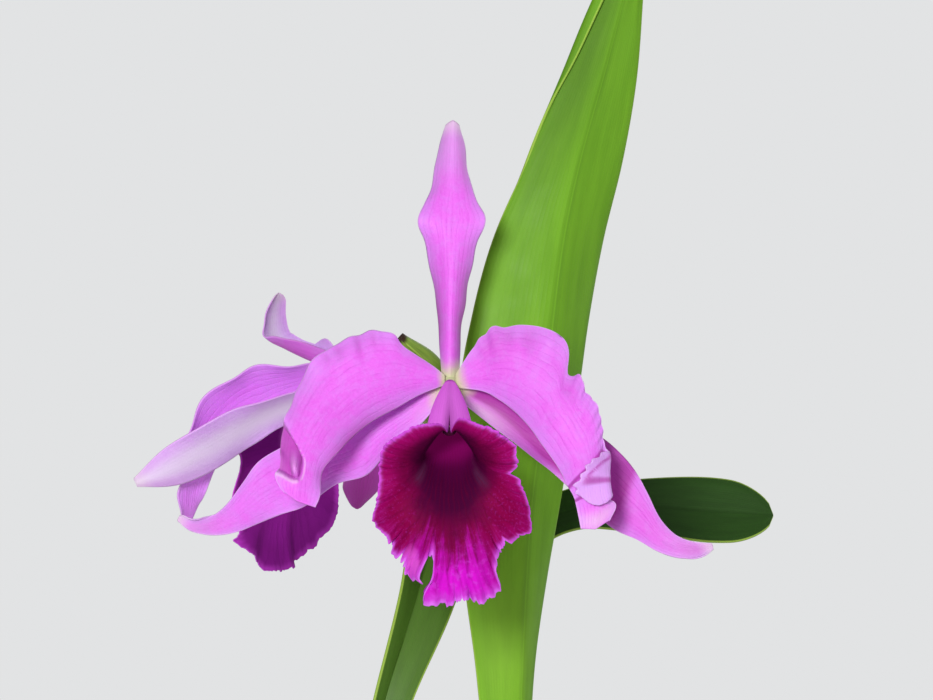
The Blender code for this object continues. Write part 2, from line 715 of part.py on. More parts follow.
REAR_BLOOM = {
    "dorsal_sepal": Blade(
        spine=[
            (0, 2, 3.6), (0, -9, 6.5), (1, -21, 11), (1.5, -32, 14.2), (2, -38.5, 17),
            (2, -39.5, 24), (2, -36.5, 32.3),
        ],
        facing=[
            (0, -1, 0), (0, -0.6, -0.8), (0, -0.4, -0.9), (0, -0.6, -0.7), (0, -0.9, -0.4),
            (0, -1, 0), (0, -1, 0),
        ],
        right=[3.2, 5.5, 6.5, 8, 8, 6, 2.4],
        left=[3.2, 5.5, 6.5, 8, 8, 6, 2.4],
        curl_right=[-30, -112, -100, -60, -30, -30, -30],
        curl_left=[-30, -112, -100, -60, -30, -30, -30],
        cells=(14, 6),
    ),
    "left_sepal": Blade(
        spine=[
            (-3, 2.4, -2), (-15, 1, -6), (-28, -3, -11), (-40, -8, -16), (-52, -15, -21),
            (-63, -24, -26), (-70, -32, -29),
        ],
        facing=BACKWARD,
        right=[2.4, 8, 12, 12, 9.5, 6, 0.9],
        left=[2.4, 8, 12, 12, 9.5, 6, 0.9],
        curl_right=[0, -15, -20, -15, 0, 10, 10],
        curl_left=[0, -15, -20, -15, 0, 10, 10],
        cells=(12, 4),
    ),
    "right_sepal": Blade(
        spine=[
            (3.4, 2, -1.8), (15, 1, -3.2), (28, -3, -5.6), (41, -9, -9.5), (54, -18, -17.3),
            (66, -29, -26), (75, -38, -31.7),
        ],
        facing=[
            (0, -1, 0), (0, -1, 0.6), (0, -1, 0.8), (0, -1, 0.7), (0, -1, 0.5), (0, -1, 0.2),
            (0, -1, 0),
        ],
        right=[2.4, 6, 8, 8.5, 12, 9, 1.6],
        left=[2.4, 6.5, 9.5, 11, 11, 7.6, 1.6],
        curl_right=[0, -15, -20, -15, 0, 10, 10],
        curl_left=[0, -15, -20, -15, 0, 10, 10],
        cells=(14, 6),
    ),
    "left_petal": Blade(
        spine=[
            (-3.2, -0.6, 1.6),
            (-12, -6, 4),
            (-22, -13, 2),
            (-30, -20, -5),
            (-36, -26, -15),
            (-39.5, -30, -26),
            (-41, -33, -37),
            (-40, -34, -46),
        ],
        facing=[
            (0, -1, 0), (0, -0.9, 0.35), (-0.2, -0.85, 0.45), (-0.35, -0.85, 0.3),
            (-0.2, -0.95, 0.1), (0, -1, 0),
        ],
        right=[2.2, 8, 12, 14, 13, 11, 9.5, 5],
        left=[2.2, 8, 12, 14, 13, 11, 9.5, 5],
        curl_right=[0, -15, -25, -25, -25, -15, 0],
        curl_left=[0, -15, -25, -25, -25, -15, 0],
        waves=[(1, 2.0, 4.0, 0.4), (-1, 1.0, 2.5, 0.0)],
        cells=(14, 6),
    ),
    "right_petal": Blade(
        spine=[
            (3.2, -0.6, 1.6),
            (12, -5, 2.5),
            (23, -12, 0),
            (33, -19.5, -4.8),
            (42, -25.5, -11.5),
            (47.5, -31, -21),
            (49.5, -34.5, -31),
            (49.5, -36.5, -39.6),
            (47, -39.5, -47),
        ],
        facing=[
            (0, -1, 0), (0, -0.8, 0.5), (0, -0.8, 0.55), (0.2, -0.85, 0.4), (0.35, -0.85, 0.3),
            (0.3, -0.95, 0.1), (0.2, -1, 0),
        ],
        right=[2.2, 5.5, 7.5, 8.5, 8, 6, 5, 4, 2],
        left=[2.2, 8, 14, 18, 16.5, 9.5, 7, 5, 2],
        curl_right=[0, -15, -25, -25, -25, -15, 0],
        curl_left=[0, -15, -25, -25, -25, -15, 0],
        waves=[(-1, 1.6, 4.0, 0.15), (1, 1.0, 2.5, 0.0)],
        cells=(14, 6),
    ),
}

# The lip: a tube round the column that flares into side lobes and a ruffled front lobe.
# Angles run round the tube from 0 at its floor to 180 at the seam on top, minus to the left.

LIP_BASE = Vector((0, -1.6, -1.6))
LIP_THROAT = Vector((0, -29, -19))
LIP_RADII = (3.5, 8.0)
LIP_SEAM = 175.0
LIP_TUBE_SHARE = 0.4
LIP_REACH = [
    (-171, 2),
    (-158, 3.5),
    (-139, 8.5),
    (-118, 14),
    (-102, 17),
    (-84, 17),
    (-69, 20.5),
    (-56, 26.5),
    (-47, 28.5),
    (-37, 29.5),
    (-28, 37),
    (-18, 41),
    (-9, 43.5),
    (0, 45),
    (9, 44),
    (18, 44.5),
    (25, 41),
    (31, 32),
    (39, 29),
    (48, 31.5),
    (56, 28),
    (65, 22.5),
    (76, 16),
    (89, 15.5),
    (103, 16),
    (114, 15),
    (128, 11.5),
    (144, 9),
    (160, 6),
    (171, 2),
]
REAR_LIP_REACH = [
    (-171, 2),
    (-139, 8.5),
    (-110, 16),
    (-75, 20),
    (-50, 29),
    (-25, 38),
    (0, 42),
    (18, 44),
    (32, 40),
    (46, 35),
    (65, 25),
    (89, 18),
    (114, 15),
    (144, 9),
    (171, 2),
]
LIP_FLARE_START = 12.0
LIP_FLARE_END = [
    (-171, 95), (-120, 110), (-60, 104), (-25, 78), (0, 68), (25, 78), (60, 104), (120, 110),
    (171, 95),
]
LIP_WAVES = [(1.6, 7, 0.4), (0.9, 13, 1.1)]


def lip_point(reaches, s, v):
    """The lip's middle surface at s from its foot to its margin (0 to 1) and v round it (-1 to 1)."""
    angle = v * LIP_SEAM
    ahead = (LIP_THROAT - LIP_BASE).normalized()
    floor = Vector((0, -ahead.z, ahead.y))
    if floor.z > 0:
        floor = -floor
    out = Vector((1, 0, 0)) * math.sin(math.radians(angle)) + floor * math.cos(math.radians(angle))
    low, high = LIP_RADII
    if s <= LIP_TUBE_SHARE:
        t = s / LIP_TUBE_SHARE
        return LIP_BASE.lerp(LIP_THROAT, t) + out * (low + (high - low) * t)
    t = (s - LIP_TUBE_SHARE) / (1 - LIP_TUBE_SHARE)
    reach = through(reaches, angle)
    start = math.radians(LIP_FLARE_START)
    turn = math.radians(through(LIP_FLARE_END, angle)) - start
    lean = start + turn * t
    forward = reach / turn * (math.sin(lean) - math.sin(start))
    outward = reach / turn * (math.cos(start) - math.cos(lean))
    surface = LIP_THROAT + out * (high + outward) + ahead * forward
    normal = out * math.cos(lean) - ahead * math.sin(lean)
    round_tube = math.radians(angle)
    ruffle = sum(height * math.sin(count * round_tube + phase) for height, count, phase in LIP_WAVES)
    return surface + normal * (ruffle * t**2 * min(1, reach / 20))


def add_lip(name, reaches, cells, finish, parent):
    mesh = grid_mesh(name, cells, lambda s, v: lip_point(reaches, s, v))
    obj = add_object(name, mesh, finish, parent)
    add_thickness(obj, TEPAL)
    return obj


COLUMN_ROUTE = [(0, -1.4, -0.9), (0, -9, -5.2), (0, -18, -10.4), (0, -26.5, -15.6)]
COLUMN_RADII = [1.9, 2.4, 2.9, 2.7]
ANTHER_SIZE = (2.2, 1.5, 1.8)


def add_column(prefix, finish, cap_finish, parent):
    """The column, with the loose cap over its anther at the end."""
    name = prefix + "column"
    add_object(name, smooth_tube(name, COLUMN_ROUTE, COLUMN_RADII, 6), finish, parent)
    tip = Vector(COLUMN_ROUTE[-1])
    ahead = (tip - Vector(COLUMN_ROUTE[-2])).normalized()
    bpy.ops.mesh.primitive_uv_sphere_add(segments=10, ring_count=6, radius=MM)
    cap = bpy.context.object
    cap.name = prefix + "anther_cap"
    cap.scale = ANTHER_SIZE
    cap.rotation_euler = ahead.to_track_quat("Y", "Z").to_euler()
    cap.location = (tip + ahead * (ANTHER_SIZE[1] + CLEARANCE)) * MM
    move_to_plant(cap)
    cap.parent = parent
    cap.data.materials.append(cap_finish)


def add_bloom(prefix, organs, centre, turn, lip_reach, lip_cells, finishes):
    holder = bpy.data.objects.new(prefix + "centre", None)
    PLANT.objects.link(holder)
    holder.location = centre * MM
    holder.rotation_euler = (0, 0, math.radians(turn))
    for name, blade in organs.items():
        add_blade(prefix + name, blade, finishes["tepal"], holder)
    add_lip(prefix + "lip", lip_reach, lip_cells, finishes["lip"], holder)
    add_column(prefix, finishes["tepal"], finishes["cap"], holder)


def clear_scene():
    for obj in list(bpy.data.objects):
        bpy.data.objects.remove(obj)


def new_collection(name):
    made = bpy.data.collections.new(name)
    bpy.context.scene.collection.children.link(made)
    return made


clear_scene()
PLANT = new_collection("cattleya_orchid")
HELPERS = new_collection("helpers")


def main():
    clay = material("clay", (0.55, 0.24, 0.13), 0.85)
    bark = material("bark", (0.16, 0.08, 0.045), 0.9)
    wood = material("rhizome_wood", (0.24, 0.20, 0.08), 0.7)
    bulb_green = material("bulb_green", (0.30, 0.40, 0.10), 0.45)
    husk = material("dry_husk", (0.62, 0.55, 0.42), 0.8)
    leaf = material("leaf", LEAF_GREEN, 0.4)
    stalk_green = material("stalk_green", (0.34, 0.46, 0.14), 0.5)
    finishes = {
        "tepal": material("tepal", PETAL_PINK, 0.5),
        "lip": material("lip", LIP_CRIMSON, 0.5),
        "cap": material("anther_cap", (0.9, 0.86, 0.72), 0.5),
    }
    add_pot(clay)
    buried = rhizome_pieces(0.4)
    add_bark(bark, buried)
    add_rhizome(wood)
    bulbs = {"tall": (BULB_TALL, 1.0), "left": (BULB_LEFT, 0.95), "rear": (BULB_REAR, 0.9)}
    for word, (bulb, girth) in bulbs.items():
        add_bulb("pseudobulb_" + word, bulb, bulb_green, girth)
    add_husk("husk_tall", BULB_TALL, 1.0, 0.46, 200, husk)
    add_husk("husk_left", BULB_LEFT, 0.95, 0.40, 300, husk)
    add_husk("husk_rear", BULB_REAR, 0.9, 0.36, 60, husk)
    add_blade("leaf_tall", LEAF_TALL, leaf)
    add_blade("leaf_left", LEAF_LEFT, leaf)
    add_blade("leaf_rear", LEAF_REAR, leaf)
    add_blade("flower_sheath", SHEATH, stalk_green)
    add_stalk(stalk_green)
    add_bloom("front_", FRONT_BLOOM, FRONT_CENTRE, FRONT_TURN, LIP_REACH, (12, 28), finishes)
    add_bloom("rear_", REAR_BLOOM, REAR_CENTRE, REAR_TURN, REAR_LIP_REACH, (10, 20), finishes)


main()
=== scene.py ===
"""The looks of a cattleya orchid in flower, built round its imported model.

Every organ is a grid of points that follows the plant's own measures in millimetres, given thickness by a
Solidify modifier, with attributes that say how far along and how far across the organ each point lies. The
materials read those attributes, so veins, bases and margins follow the growth of each blade.
"""

import json
import math
import random
from dataclasses import dataclass, field

import bmesh
import bpy
import numpy as np
from bpy.props import FloatProperty, FloatVectorProperty, IntProperty, PointerProperty
from mathutils import Matrix, Vector, noise

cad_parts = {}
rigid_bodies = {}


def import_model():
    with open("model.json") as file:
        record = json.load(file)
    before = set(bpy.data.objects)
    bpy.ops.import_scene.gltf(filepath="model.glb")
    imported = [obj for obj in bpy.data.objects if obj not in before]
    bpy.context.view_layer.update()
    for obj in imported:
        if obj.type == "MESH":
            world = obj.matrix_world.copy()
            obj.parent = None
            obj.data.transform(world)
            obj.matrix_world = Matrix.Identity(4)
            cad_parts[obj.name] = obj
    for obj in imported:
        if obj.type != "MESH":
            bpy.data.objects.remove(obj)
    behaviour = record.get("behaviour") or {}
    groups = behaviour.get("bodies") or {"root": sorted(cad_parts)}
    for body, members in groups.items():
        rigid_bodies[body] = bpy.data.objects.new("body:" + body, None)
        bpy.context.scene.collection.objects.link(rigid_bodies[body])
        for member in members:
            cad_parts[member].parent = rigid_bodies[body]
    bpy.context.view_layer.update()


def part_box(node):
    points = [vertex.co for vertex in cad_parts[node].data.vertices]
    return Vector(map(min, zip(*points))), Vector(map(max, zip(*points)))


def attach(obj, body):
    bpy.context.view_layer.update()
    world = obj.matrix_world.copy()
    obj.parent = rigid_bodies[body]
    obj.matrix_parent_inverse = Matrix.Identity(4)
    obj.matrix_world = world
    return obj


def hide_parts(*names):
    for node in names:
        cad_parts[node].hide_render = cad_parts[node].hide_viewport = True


bl_info = {
    "name": "Cattleya Orchid",
    "version": (1, 0, 0),
    "blender": (4, 5, 0),
    "location": "View3D > Sidebar > Orchid",
    "description": "Builds a potted cattleya orchid in flower, organ by organ",
    "category": "Add Mesh",
}

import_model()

MM = 0.001
POT_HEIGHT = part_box("pot")[1].z / MM
POT_RIM_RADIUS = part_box("pot")[1].x / MM

# The plant's growths: each pseudobulb's base, apex and girth, and each bloom's centre and turn
STUB_TOP = 121.0
BULBS = {
    "tall": (Vector((14, -7, STUB_TOP)), Vector((16.5, -9, 273)), 1.0),
    "left": (Vector((-20, -12, STUB_TOP)), Vector((-30, -18, 293)), 0.95),
    "rear": (Vector((10, 32, STUB_TOP)), Vector((13, 40, 281)), 0.9),
}
FRONT_BLOOM = (Vector((-4, -55, 430)), 0.0)
REAR_BLOOM = (Vector((-34, 12, 429)), -125.0)

# The gap that stands in for the living joint between an organ and what carries it, in mm
GAP = 0.3


# Settings that a user of the add-on can change


def colour(name, text, value):
    """A colour that a user can set."""
    return FloatVectorProperty(
        name=name, description=text, subtype="COLOR", size=3, min=0, max=1, default=value
    )


class OrchidFlowerLooks(bpy.types.PropertyGroup):
    """Colours and thickness of the petals, sepals and column."""

    pink: colour("Pink", "The petals' main colour", (0.67, 0.112, 0.70))
    vein: colour("Vein", "The petals' veins", (0.52, 0.060, 0.54))
    lilac: colour("Lilac", "The petals' margins", (0.56, 0.245, 0.74))
    base: colour("Base", "The pale foot of every petal and sepal", (0.56, 0.56, 0.32))
    back: colour("Petal back", "The outer face of the petals", (0.80, 0.23, 0.98))
    sepal_back: colour("Sepal back", "The outer face of the sepals", (0.66, 0.44, 0.80))
    tip: colour("Tip", "The waxy tips of the sepals", (0.68, 0.56, 0.65))
    cap: colour("Cap", "The anther cap", (0.88, 0.82, 0.62))
    thickness: FloatProperty(
        name="Thickness", description="Thickness of a petal at its middle", default=0.8 * MM, unit="LENGTH"
    )
    margin: FloatProperty(
        name="Margin", description="Share of its thickness that a petal keeps at its margin", default=0.5,
        subtype="FACTOR",
    )


class OrchidLipLooks(bpy.types.PropertyGroup):
    """Colours of the lip."""

    throat: colour("Throat", "The velvety throat", (0.048, 0.0006, 0.026))
    crimson: colour("Crimson", "The lip's broad middle zone", (0.18, 0.0003, 0.045))
    lobe: colour("Lobe", "The bright front lobe", (0.54, 0.006, 0.50))
    rim: colour("Rim", "The crisped margin", (0.50, 0.045, 0.54))
    outside: colour("Outside", "The outer face of the lip", (0.24, 0.012, 0.25))
    tube: colour("Tube", "The pink outside of the rolled tube", (0.74, 0.15, 0.76))


class OrchidGreenLooks(bpy.types.PropertyGroup):
    """Colours of leaves, stems and husks."""

    leaf: colour("Leaf", "The youngest leaf", (0.155, 0.37, 0.016))
    shade: colour("Leaf shade", "The darker streaks of the young leaves", (0.105, 0.27, 0.010))
    # partly the ripe leaf's own deeper green and partly painted shade, where the bloom shades it
    ripe: colour("Ripe leaf", "The leaf of the second growth", (0.070, 0.155, 0.018))
    dark: colour("Old leaf", "The reclining old leaf", (0.022, 0.065, 0.010))
    edge: colour("Leaf margin", "The thin hard margin of a leaf", (0.34, 0.50, 0.07))
    bulb: colour("Pseudobulb", "The swollen stems", (0.24, 0.34, 0.07))
    stalk: colour("Stalk", "The flower stalks and the sheath", (0.34, 0.46, 0.12))
    sheath: colour("Sheath", "The flower sheath", (0.26, 0.39, 0.06))
    husk: colour("Husk", "The dry bracts", (0.60, 0.52, 0.38))


class OrchidPotLooks(bpy.types.PropertyGroup):
    """The clay pot and its filling."""

    clay: colour("Clay", "The fired clay", (0.50, 0.205, 0.10))
    lime: colour("Lime", "The pale bloom that water leaves on clay", (0.66, 0.56, 0.46))
    bark: colour("Bark", "The bark's warm brown", (0.20, 0.095, 0.045))
    ash: colour("Ash", "The bark's weathered faces", (0.24, 0.19, 0.14))
    chips: IntProperty(
        name="Chips", description="Pieces of bark on the surface", default=190, min=20, max=600,
        subtype="UNSIGNED",
    )
    sides: IntProperty(
        name="Sides", description="Sides of the turned pot", default=144, min=24, max=360, subtype="UNSIGNED"
    )


class OrchidStudio(bpy.types.PropertyGroup):
    """Floor, lights and camera."""

    floor: colour("Floor", "The studio's pale floor", (0.86, 0.86, 0.85))
    key: FloatProperty(name="Key light", description="Power of the main light", default=8.4, unit="POWER")
    fill: FloatProperty(
        name="Fill light", description="Power of the light on the right", default=2.5, unit="POWER"
    )
    back: FloatProperty(name="Back light", description="Power of the light behind", default=5, unit="POWER")
    sky: FloatProperty(
        name="Surroundings", description="Strength of the pale surroundings", default=0.34, subtype="FACTOR"
    )
    lens: FloatProperty(name="Lens", description="Focal length in millimetres", default=100, unit="CAMERA")


# Smooth curves through a few keys


def neighbours(count):
    """The places before and after each of a number of keys, kept within the row."""
    places = np.arange(count)
    return np.maximum(places - 1, 0), np.minimum(places + 1, count - 1)


def blend(start, start_slope, end, end_slope, t):
    """A cubic curve from one value to the next with the slopes given, at t from 0 to 1."""
    return (
        start * (2 * t**3 - 3 * t**2 + 1)
        + start_slope * (t**3 - 2 * t**2 + t)
        + end * (3 * t**2 - 2 * t**3)
        + end_slope * (t**3 - t**2)
    )


def spread(keys, places):
    """A smooth curve through evenly spaced keys, read at places from 0 to 1. A key is a number or a point."""
    keys = np.asarray(keys, float)
    last = len(keys) - 1
    x = np.clip(np.asarray(places, float), 0, 1) * last
    i = np.clip(np.floor(x).astype(int), 0, last - 1)
    t = x - i
    before, after = neighbours(len(keys))
    gaps = (after - before).astype(float)
    if keys.ndim == 2:
        t, gaps = t[..., None], gaps[:, None]
    slopes = (keys[after] - keys[before]) / gaps
    return blend(keys[i], slopes[i], keys[i + 1], slopes[i + 1], t)


def through(keys, x):
    """A smooth curve through (place, value) keys at uneven places, read at x."""
    places, values = np.array(keys, float).T
    x = np.clip(np.asarray(x, float), places[0], places[-1])
    i = np.clip(np.searchsorted(places, x, "right") - 1, 0, len(keys) - 2)
    before, after = neighbours(len(keys))
    slopes = (values[after] - values[before]) / (places[after] - places[before])
    step = places[i + 1] - places[i]
    t = (x - places[i]) / step
    return blend(values[i], slopes[i] * step, values[i + 1], slopes[i + 1] * step, t)


def unit(vectors):
    """Vectors scaled to a length of 1."""
    lengths = np.linalg.norm(vectors, axis=-1, keepdims=True)
    return vectors / np.maximum(lengths, 1e-9)


def ripple(values, seed, scale):
    """Smooth seeded noise between about -1 and 1 along a list of values."""
    return np.array([noise.noise((value * scale, seed * 7.31, 0.5)) for value in values])


# Organs as grids of points


@dataclass
class Frill:
    """Waves along one margin: its side, their height in mm, number and phase. A higher power keeps them
    nearer to the margin, and they run from start to end."""

    side: int
    height: float
    waves: float
    phase: float = 0.0
    power: float = 3.0
    start: float = 0.0
    end: float = 1.0


@dataclass
class Flap:
    """A side margin folded over: its reach in mm at places along it, its turn in degrees, its bend's
    radius."""

    side: str
    reach: list
    turn: float = 160.0
    bend: float = 1.2


@dataclass
class Crease:
    """A step in the surface beside a line of (along, across) points: how high and wide it is, and how much
    painted shade its far side gets, or its line alone if thin. A stop of (across, along) points ends it with
    a pale waxy ledge, and the brink along its line above the ledge gets a painted highlight."""

    line: list
    rise: float
    width: float
    dusk: float = 0.0
    thin: bool = False
    stop: list = None


@dataclass
class Swell:
    """A soft rise or hollow: its place and size along and across, its height in mm, how much painted shade it
    lays (painted light where that is below 0), and how pale it makes the tissue, which on a leaf is painted
    light."""

    along: float
    across: float
    length: float
    width: float
    rise: float
    dusk: float = 0.0
    pale: float = 0.0


@dataclass
class Organ:
    """A blade drawn through its left margin, its midline and its right margin, each from base to tip, in mm.
    Its trims move the margins outward, and a keel above 1 keeps its depth near them."""

    left: list
    middle: list
    right: list
    keel: float = 2.0
    trim_left: list = field(default_factory=lambda: [(0, 0), (1, 0)])
    trim_right: list = field(default_factory=lambda: [(0, 0), (1, 0)])
    frills: list = field(default_factory=list)
    flaps: list = field(default_factory=list)
    relief: list = field(default_factory=list)
    cells: tuple = (110, 44)


@dataclass
class Blade:
    """A blade bent along a spine. Its half widths in mm and its folds and curls in degrees run from base to
    tip, and round_tip is the share of its length that narrows to a round end."""

    spine: list
    facing: list
    right: list
    left: list
    fold: list = field(default_factory=lambda: [0, 0])
    curl: list = field(default_factory=lambda: [0, 0])
    round_tip: float = 0.0
    frills: list = field(default_factory=list)
    flaps: list = field(default_factory=list)
    relief: list = field(default_factory=list)
    cells: tuple = (110, 40)


class Sheet:
    """A grid of points with its growth coordinates: along (0 to 1), across (-1 to 1) and margin (mm to an
    edge). Painted shade darkens it, pale tissue and painted light pale it, and reach is a lip's depth past
    its tube, in mm."""

    def __init__(self, points, along, across, margin):
        self.points, self.along, self.across, self.margin = points, along, across, margin
        self.dusk = np.zeros_like(along)
        self.reach = None
        self.wax = None

    def normals(self):
        """The direction that each point faces."""
        down = np.gradient(self.points, axis=0)
        over = np.gradient(self.points, axis=1)
        return unit(np.cross(over, down))


def margin_distance(points):
    """How far each point of a grid lies from the nearer side edge, measured along its row."""
    steps = np.linalg.norm(np.diff(points, axis=1), axis=2)
    run = np.concatenate([np.zeros((len(points), 1)), np.cumsum(steps, axis=1)], axis=1)
    return np.minimum(run, run[:, -1:] - run)


def organ_sheet(organ):
    """The sheet of an organ, stretched between its margins."""
    rows, columns = organ.cells
    u, v = np.linspace(0, 1, rows), np.linspace(-1, 1, columns)
    left, middle, right = (spread(keys, u) for keys in (organ.left, organ.middle, organ.right))
    left = left + unit(left - middle) * through(organ.trim_left, u)[:, None]
    right = right + unit(right - middle) * through(organ.trim_right, u)[:, None]
    front = unit(np.cross(right - left, np.gradient(middle, axis=0)))[:, None, :]
    margin = np.where((v > 0)[None, :, None], right[:, None, :], left[:, None, :]) - middle[:, None, :]
    deep = (margin * front).sum(axis=2, keepdims=True) * front
    reach = np.abs(v)[None, :, None]
    points = middle[:, None, :] + (margin - deep) * reach + deep * reach**organ.keel
    return Sheet(points, *np.meshgrid(u, v, indexing="ij"), margin_distance(points))


def blade_sheet(blade):
    """The sheet of a blade, bent along its spine."""
    rows, columns = blade.cells
    u, v = np.linspace(0, 1, rows), np.linspace(-1, 1, columns)
    centre = spread(blade.spine, u)
    before, after = (spread(blade.spine, np.clip(u + step, 0, 1)) for step in (-0.01, 0.01))
    ahead = unit(after - before)
    front = spread(blade.facing, u)
    front = unit(front - ahead * (front * ahead).sum(axis=1, keepdims=True))
    side = np.cross(ahead, front)
    fold, curl = (np.radians(spread(keys, u))[:, None] for keys in (blade.fold, blade.curl))
    curl = np.where(np.abs(curl) < 1e-3, 1e-3, curl)
    end = np.clip((u - 1 + blade.round_tip) / max(blade.round_tip, 1e-6), 0, 1)
    rounded = np.sqrt(1.002 - end**2)[:, None]
    points = np.empty((rows, columns, 3))
    for mask, half in ((v > 0, blade.right), (v <= 0, blade.left)):
        reach = np.abs(v[mask])[None, :]
        width = spread(half, u)[:, None] * rounded
        across = (np.sin(fold + curl * reach) - np.sin(fold)) / curl * width * np.sign(v[mask])[None, :]
        rise = (np.cos(fold) - np.cos(fold + curl * reach)) / curl * width
        bent = side[:, None] * across[..., None]
        points[:, mask] = centre[:, None] + bent + front[:, None] * rise[..., None]
    return Sheet(points, *np.meshgrid(u, v, indexing="ij"), margin_distance(points))


def frill(sheet, frills, seed, ease=0.04):
    """Waves the margins of a sheet, a little unevenly. Each wave fades in and out over twice its ease."""
    if not frills:
        return
    rise = np.zeros_like(sheet.along)
    drift = ripple(sheet.along[:, 0], seed, 3.0)[:, None]
    uneven = 1 + 0.5 * ripple(sheet.along[:, 0], seed + 3, 6.0)[:, None]
    swell = np.sqrt(np.sin(np.pi * np.clip(sheet.along, 0, 1)).clip(0))
    for wave in frills:
        reach = np.clip(sheet.across * wave.side, 0, None)
        angle = 2 * np.pi * (wave.waves * sheet.along + wave.phase) + 1.6 * drift
        opening = np.clip((sheet.along - wave.start + ease) / (2 * ease), 0, 1)
        opening = opening * np.clip((wave.end + ease - sheet.along) / (2 * ease), 0, 1)
        rise += wave.height * reach**wave.power * swell * np.sin(angle) * uneven * opening
    sheet.points = sheet.points + sheet.normals() * rise[..., None]


def fold_over(sheet, flap, columns=16, least_reach=0.12):
    """Adds the folded margin that a flap describes."""
    right = flap.side == "right"
    edge, inner = (-1, -2) if right else (0, 1)
    bend_line = sheet.points[:, edge]
    outward = unit(bend_line - sheet.points[:, inner])
    run = unit(np.gradient(bend_line, axis=0))
    outward = unit(outward - run * (outward * run).sum(axis=1, keepdims=True))
    front = unit(np.cross(outward, run)) * (1 if right else -1)
    reach = np.clip(through(flap.reach, sheet.along[:, edge]), least_reach, None)[:, None]
    length = reach * np.linspace(0, 1, columns + 1)[1:][None, :]
    bend = np.minimum(flap.bend, 0.35 + reach * 0.4)
    turn = math.radians(flap.turn) * np.clip(reach / 2, 0.2, 1)
    bent = np.minimum(length, bend * turn)
    angle = bent / bend
    out = bend * np.sin(angle) + (length - bent) * np.cos(angle)
    up = bend * (1 - np.cos(angle)) + (length - bent) * np.sin(angle)
    extra = bend_line[:, None] + outward[:, None] * out[..., None] + front[:, None] * up[..., None]
    half_width = np.linalg.norm(np.diff(sheet.points, axis=1), axis=2).sum(axis=1)[:, None] / 2
    further = length / np.maximum(half_width, 1)
    more_along = np.repeat(sheet.along[:, edge][:, None], columns, axis=1)
    more_across = np.repeat(sheet.across[:, edge][:, None], columns, axis=1) + further * (1 if right else -1)
    more = {"points": extra, "along": more_along, "across": more_across, "dusk": 0 * more_along}
    for word, new in more.items():
        old = getattr(sheet, word)
        setattr(sheet, word, np.concatenate([old, new] if right else [new[:, ::-1], old], axis=1))
    sheet.margin = margin_distance(sheet.points)


def crease_share(sheet, crease, fade=0.03):
    """How far down or up its step each point of a sheet lies, from 0 to 1. The crease fades in and out at its
    line's ends. Its ledge, if it has one, is paled, and the brink above it gets a painted highlight."""
    line = through(crease.line, sheet.along)
    start, end = crease.line[0][0], crease.line[-1][0]
    within = np.clip((sheet.along - start) / fade, 0, 1) * np.clip((end - sheet.along) / fade, 0, 1)
    step = np.clip((sheet.across - line) / crease.width, 0, 1)
    share = step * step * (3 - 2 * step) * within
    if crease.stop:
        ledge = through(crease.stop, sheet.across)
        before = np.clip((ledge - sheet.along) / 0.02, 0, 1)
        waxy = 0.6 * share * np.exp(-(((sheet.along - ledge - 0.004) / 0.009) ** 2))
        # painted highlight along the brink of the crease
        brink_highlight = 0.55 * within * before * np.exp(-(((sheet.across - line + 0.015) / 0.022) ** 2))
        sheet.wax = np.maximum(sheet.wax, np.maximum(brink_highlight, waxy))
        share = share * before * before * (3 - 2 * before)
    return share


def emboss(sheet, relief, toward):
    """Presses creases and swells into a sheet, up or down a direction, and lays their painted shade, their
    paleness and their painted light.
    """
    rise = np.zeros_like(sheet.along)
    sheet.wax = np.zeros_like(sheet.along)
    for mark in relief:
        if isinstance(mark, Swell):
            far = ((sheet.along - mark.along) / mark.length) ** 2
            share = np.exp(-(far + ((sheet.across - mark.across) / mark.width) ** 2))
            sheet.wax = np.maximum(sheet.wax, mark.pale * share)
            shade = share
        else:
            share = crease_share(sheet, mark)
            shade = 4 * share * (1 - share) if mark.thin else share
        rise += mark.rise * share
        sheet.dusk = np.clip(sheet.dusk + mark.dusk * shade, 0, 1)
    sheet.points = sheet.points + toward * rise[..., None]


def grow(shape, seed):
    """The finished sheet of an organ or a blade: its form, its frills, its folded margins, its relief."""
    sheet = organ_sheet(shape) if isinstance(shape, Organ) else blade_sheet(shape)
    frill(sheet, shape.frills, seed)
    for flap in shape.flaps:
        fold_over(sheet, flap)
    emboss(sheet, shape.relief, np.array((0, -1, 0)) if isinstance(shape, Organ) else sheet.normals())
    return sheet


# Meshes

ROUGH_ALONG = 0.35
ROUGH_ROUND = 1.3


def collection(name="Cattleya"):
    """The collection that holds the plant, made when it is first asked for."""
    made = bpy.data.collections.get(name)
    if made is None:
        made = bpy.data.collections.new(name)
        bpy.context.scene.collection.children.link(made)
    return made


def add_quads(made, points, closed):
    """Adds a grid of points in mm to a bmesh with its quads, joined into a ring if closed."""
    rows, columns = points.shape[:2]
    corners = [made.verts.new(point) for point in points.reshape(-1, 3) * MM]
    for row in range(rows - 1):
        for n in range(columns if closed else columns - 1):
            a, b = row * columns + n, row * columns + (n + 1) % columns
            made.faces.new((corners[a], corners[b], corners[b + columns], corners[a + columns]))
    return corners


def new_mesh(made, name, smooth=True):
    """The finished mesh of a bmesh."""
    mesh = bpy.data.meshes.new(name)
    made.to_mesh(mesh)
    made.free()
    if smooth:
        mesh.shade_smooth()
    return mesh


def grid_mesh(name, points):
    """A mesh of quads over a grid of points in mm."""
    made = bmesh.new()
    add_quads(made, points, closed=False)
    return new_mesh(made, name)


def set_values(mesh, name, values):
    """Stores one number for each vertex under a name that the materials read."""
    layer = mesh.attributes.new(name, "FLOAT", "POINT")
    layer.data.foreach_set("value", np.ascontiguousarray(values, np.float32).reshape(-1))


def settle(points, bloom):
    """Points of a bloom's own frame in the plant's frame."""
    centre, turn = bloom
    turned = np.array(Matrix.Rotation(math.radians(turn), 3, "Z"))
    return points @ turned.T + np.array(centre)


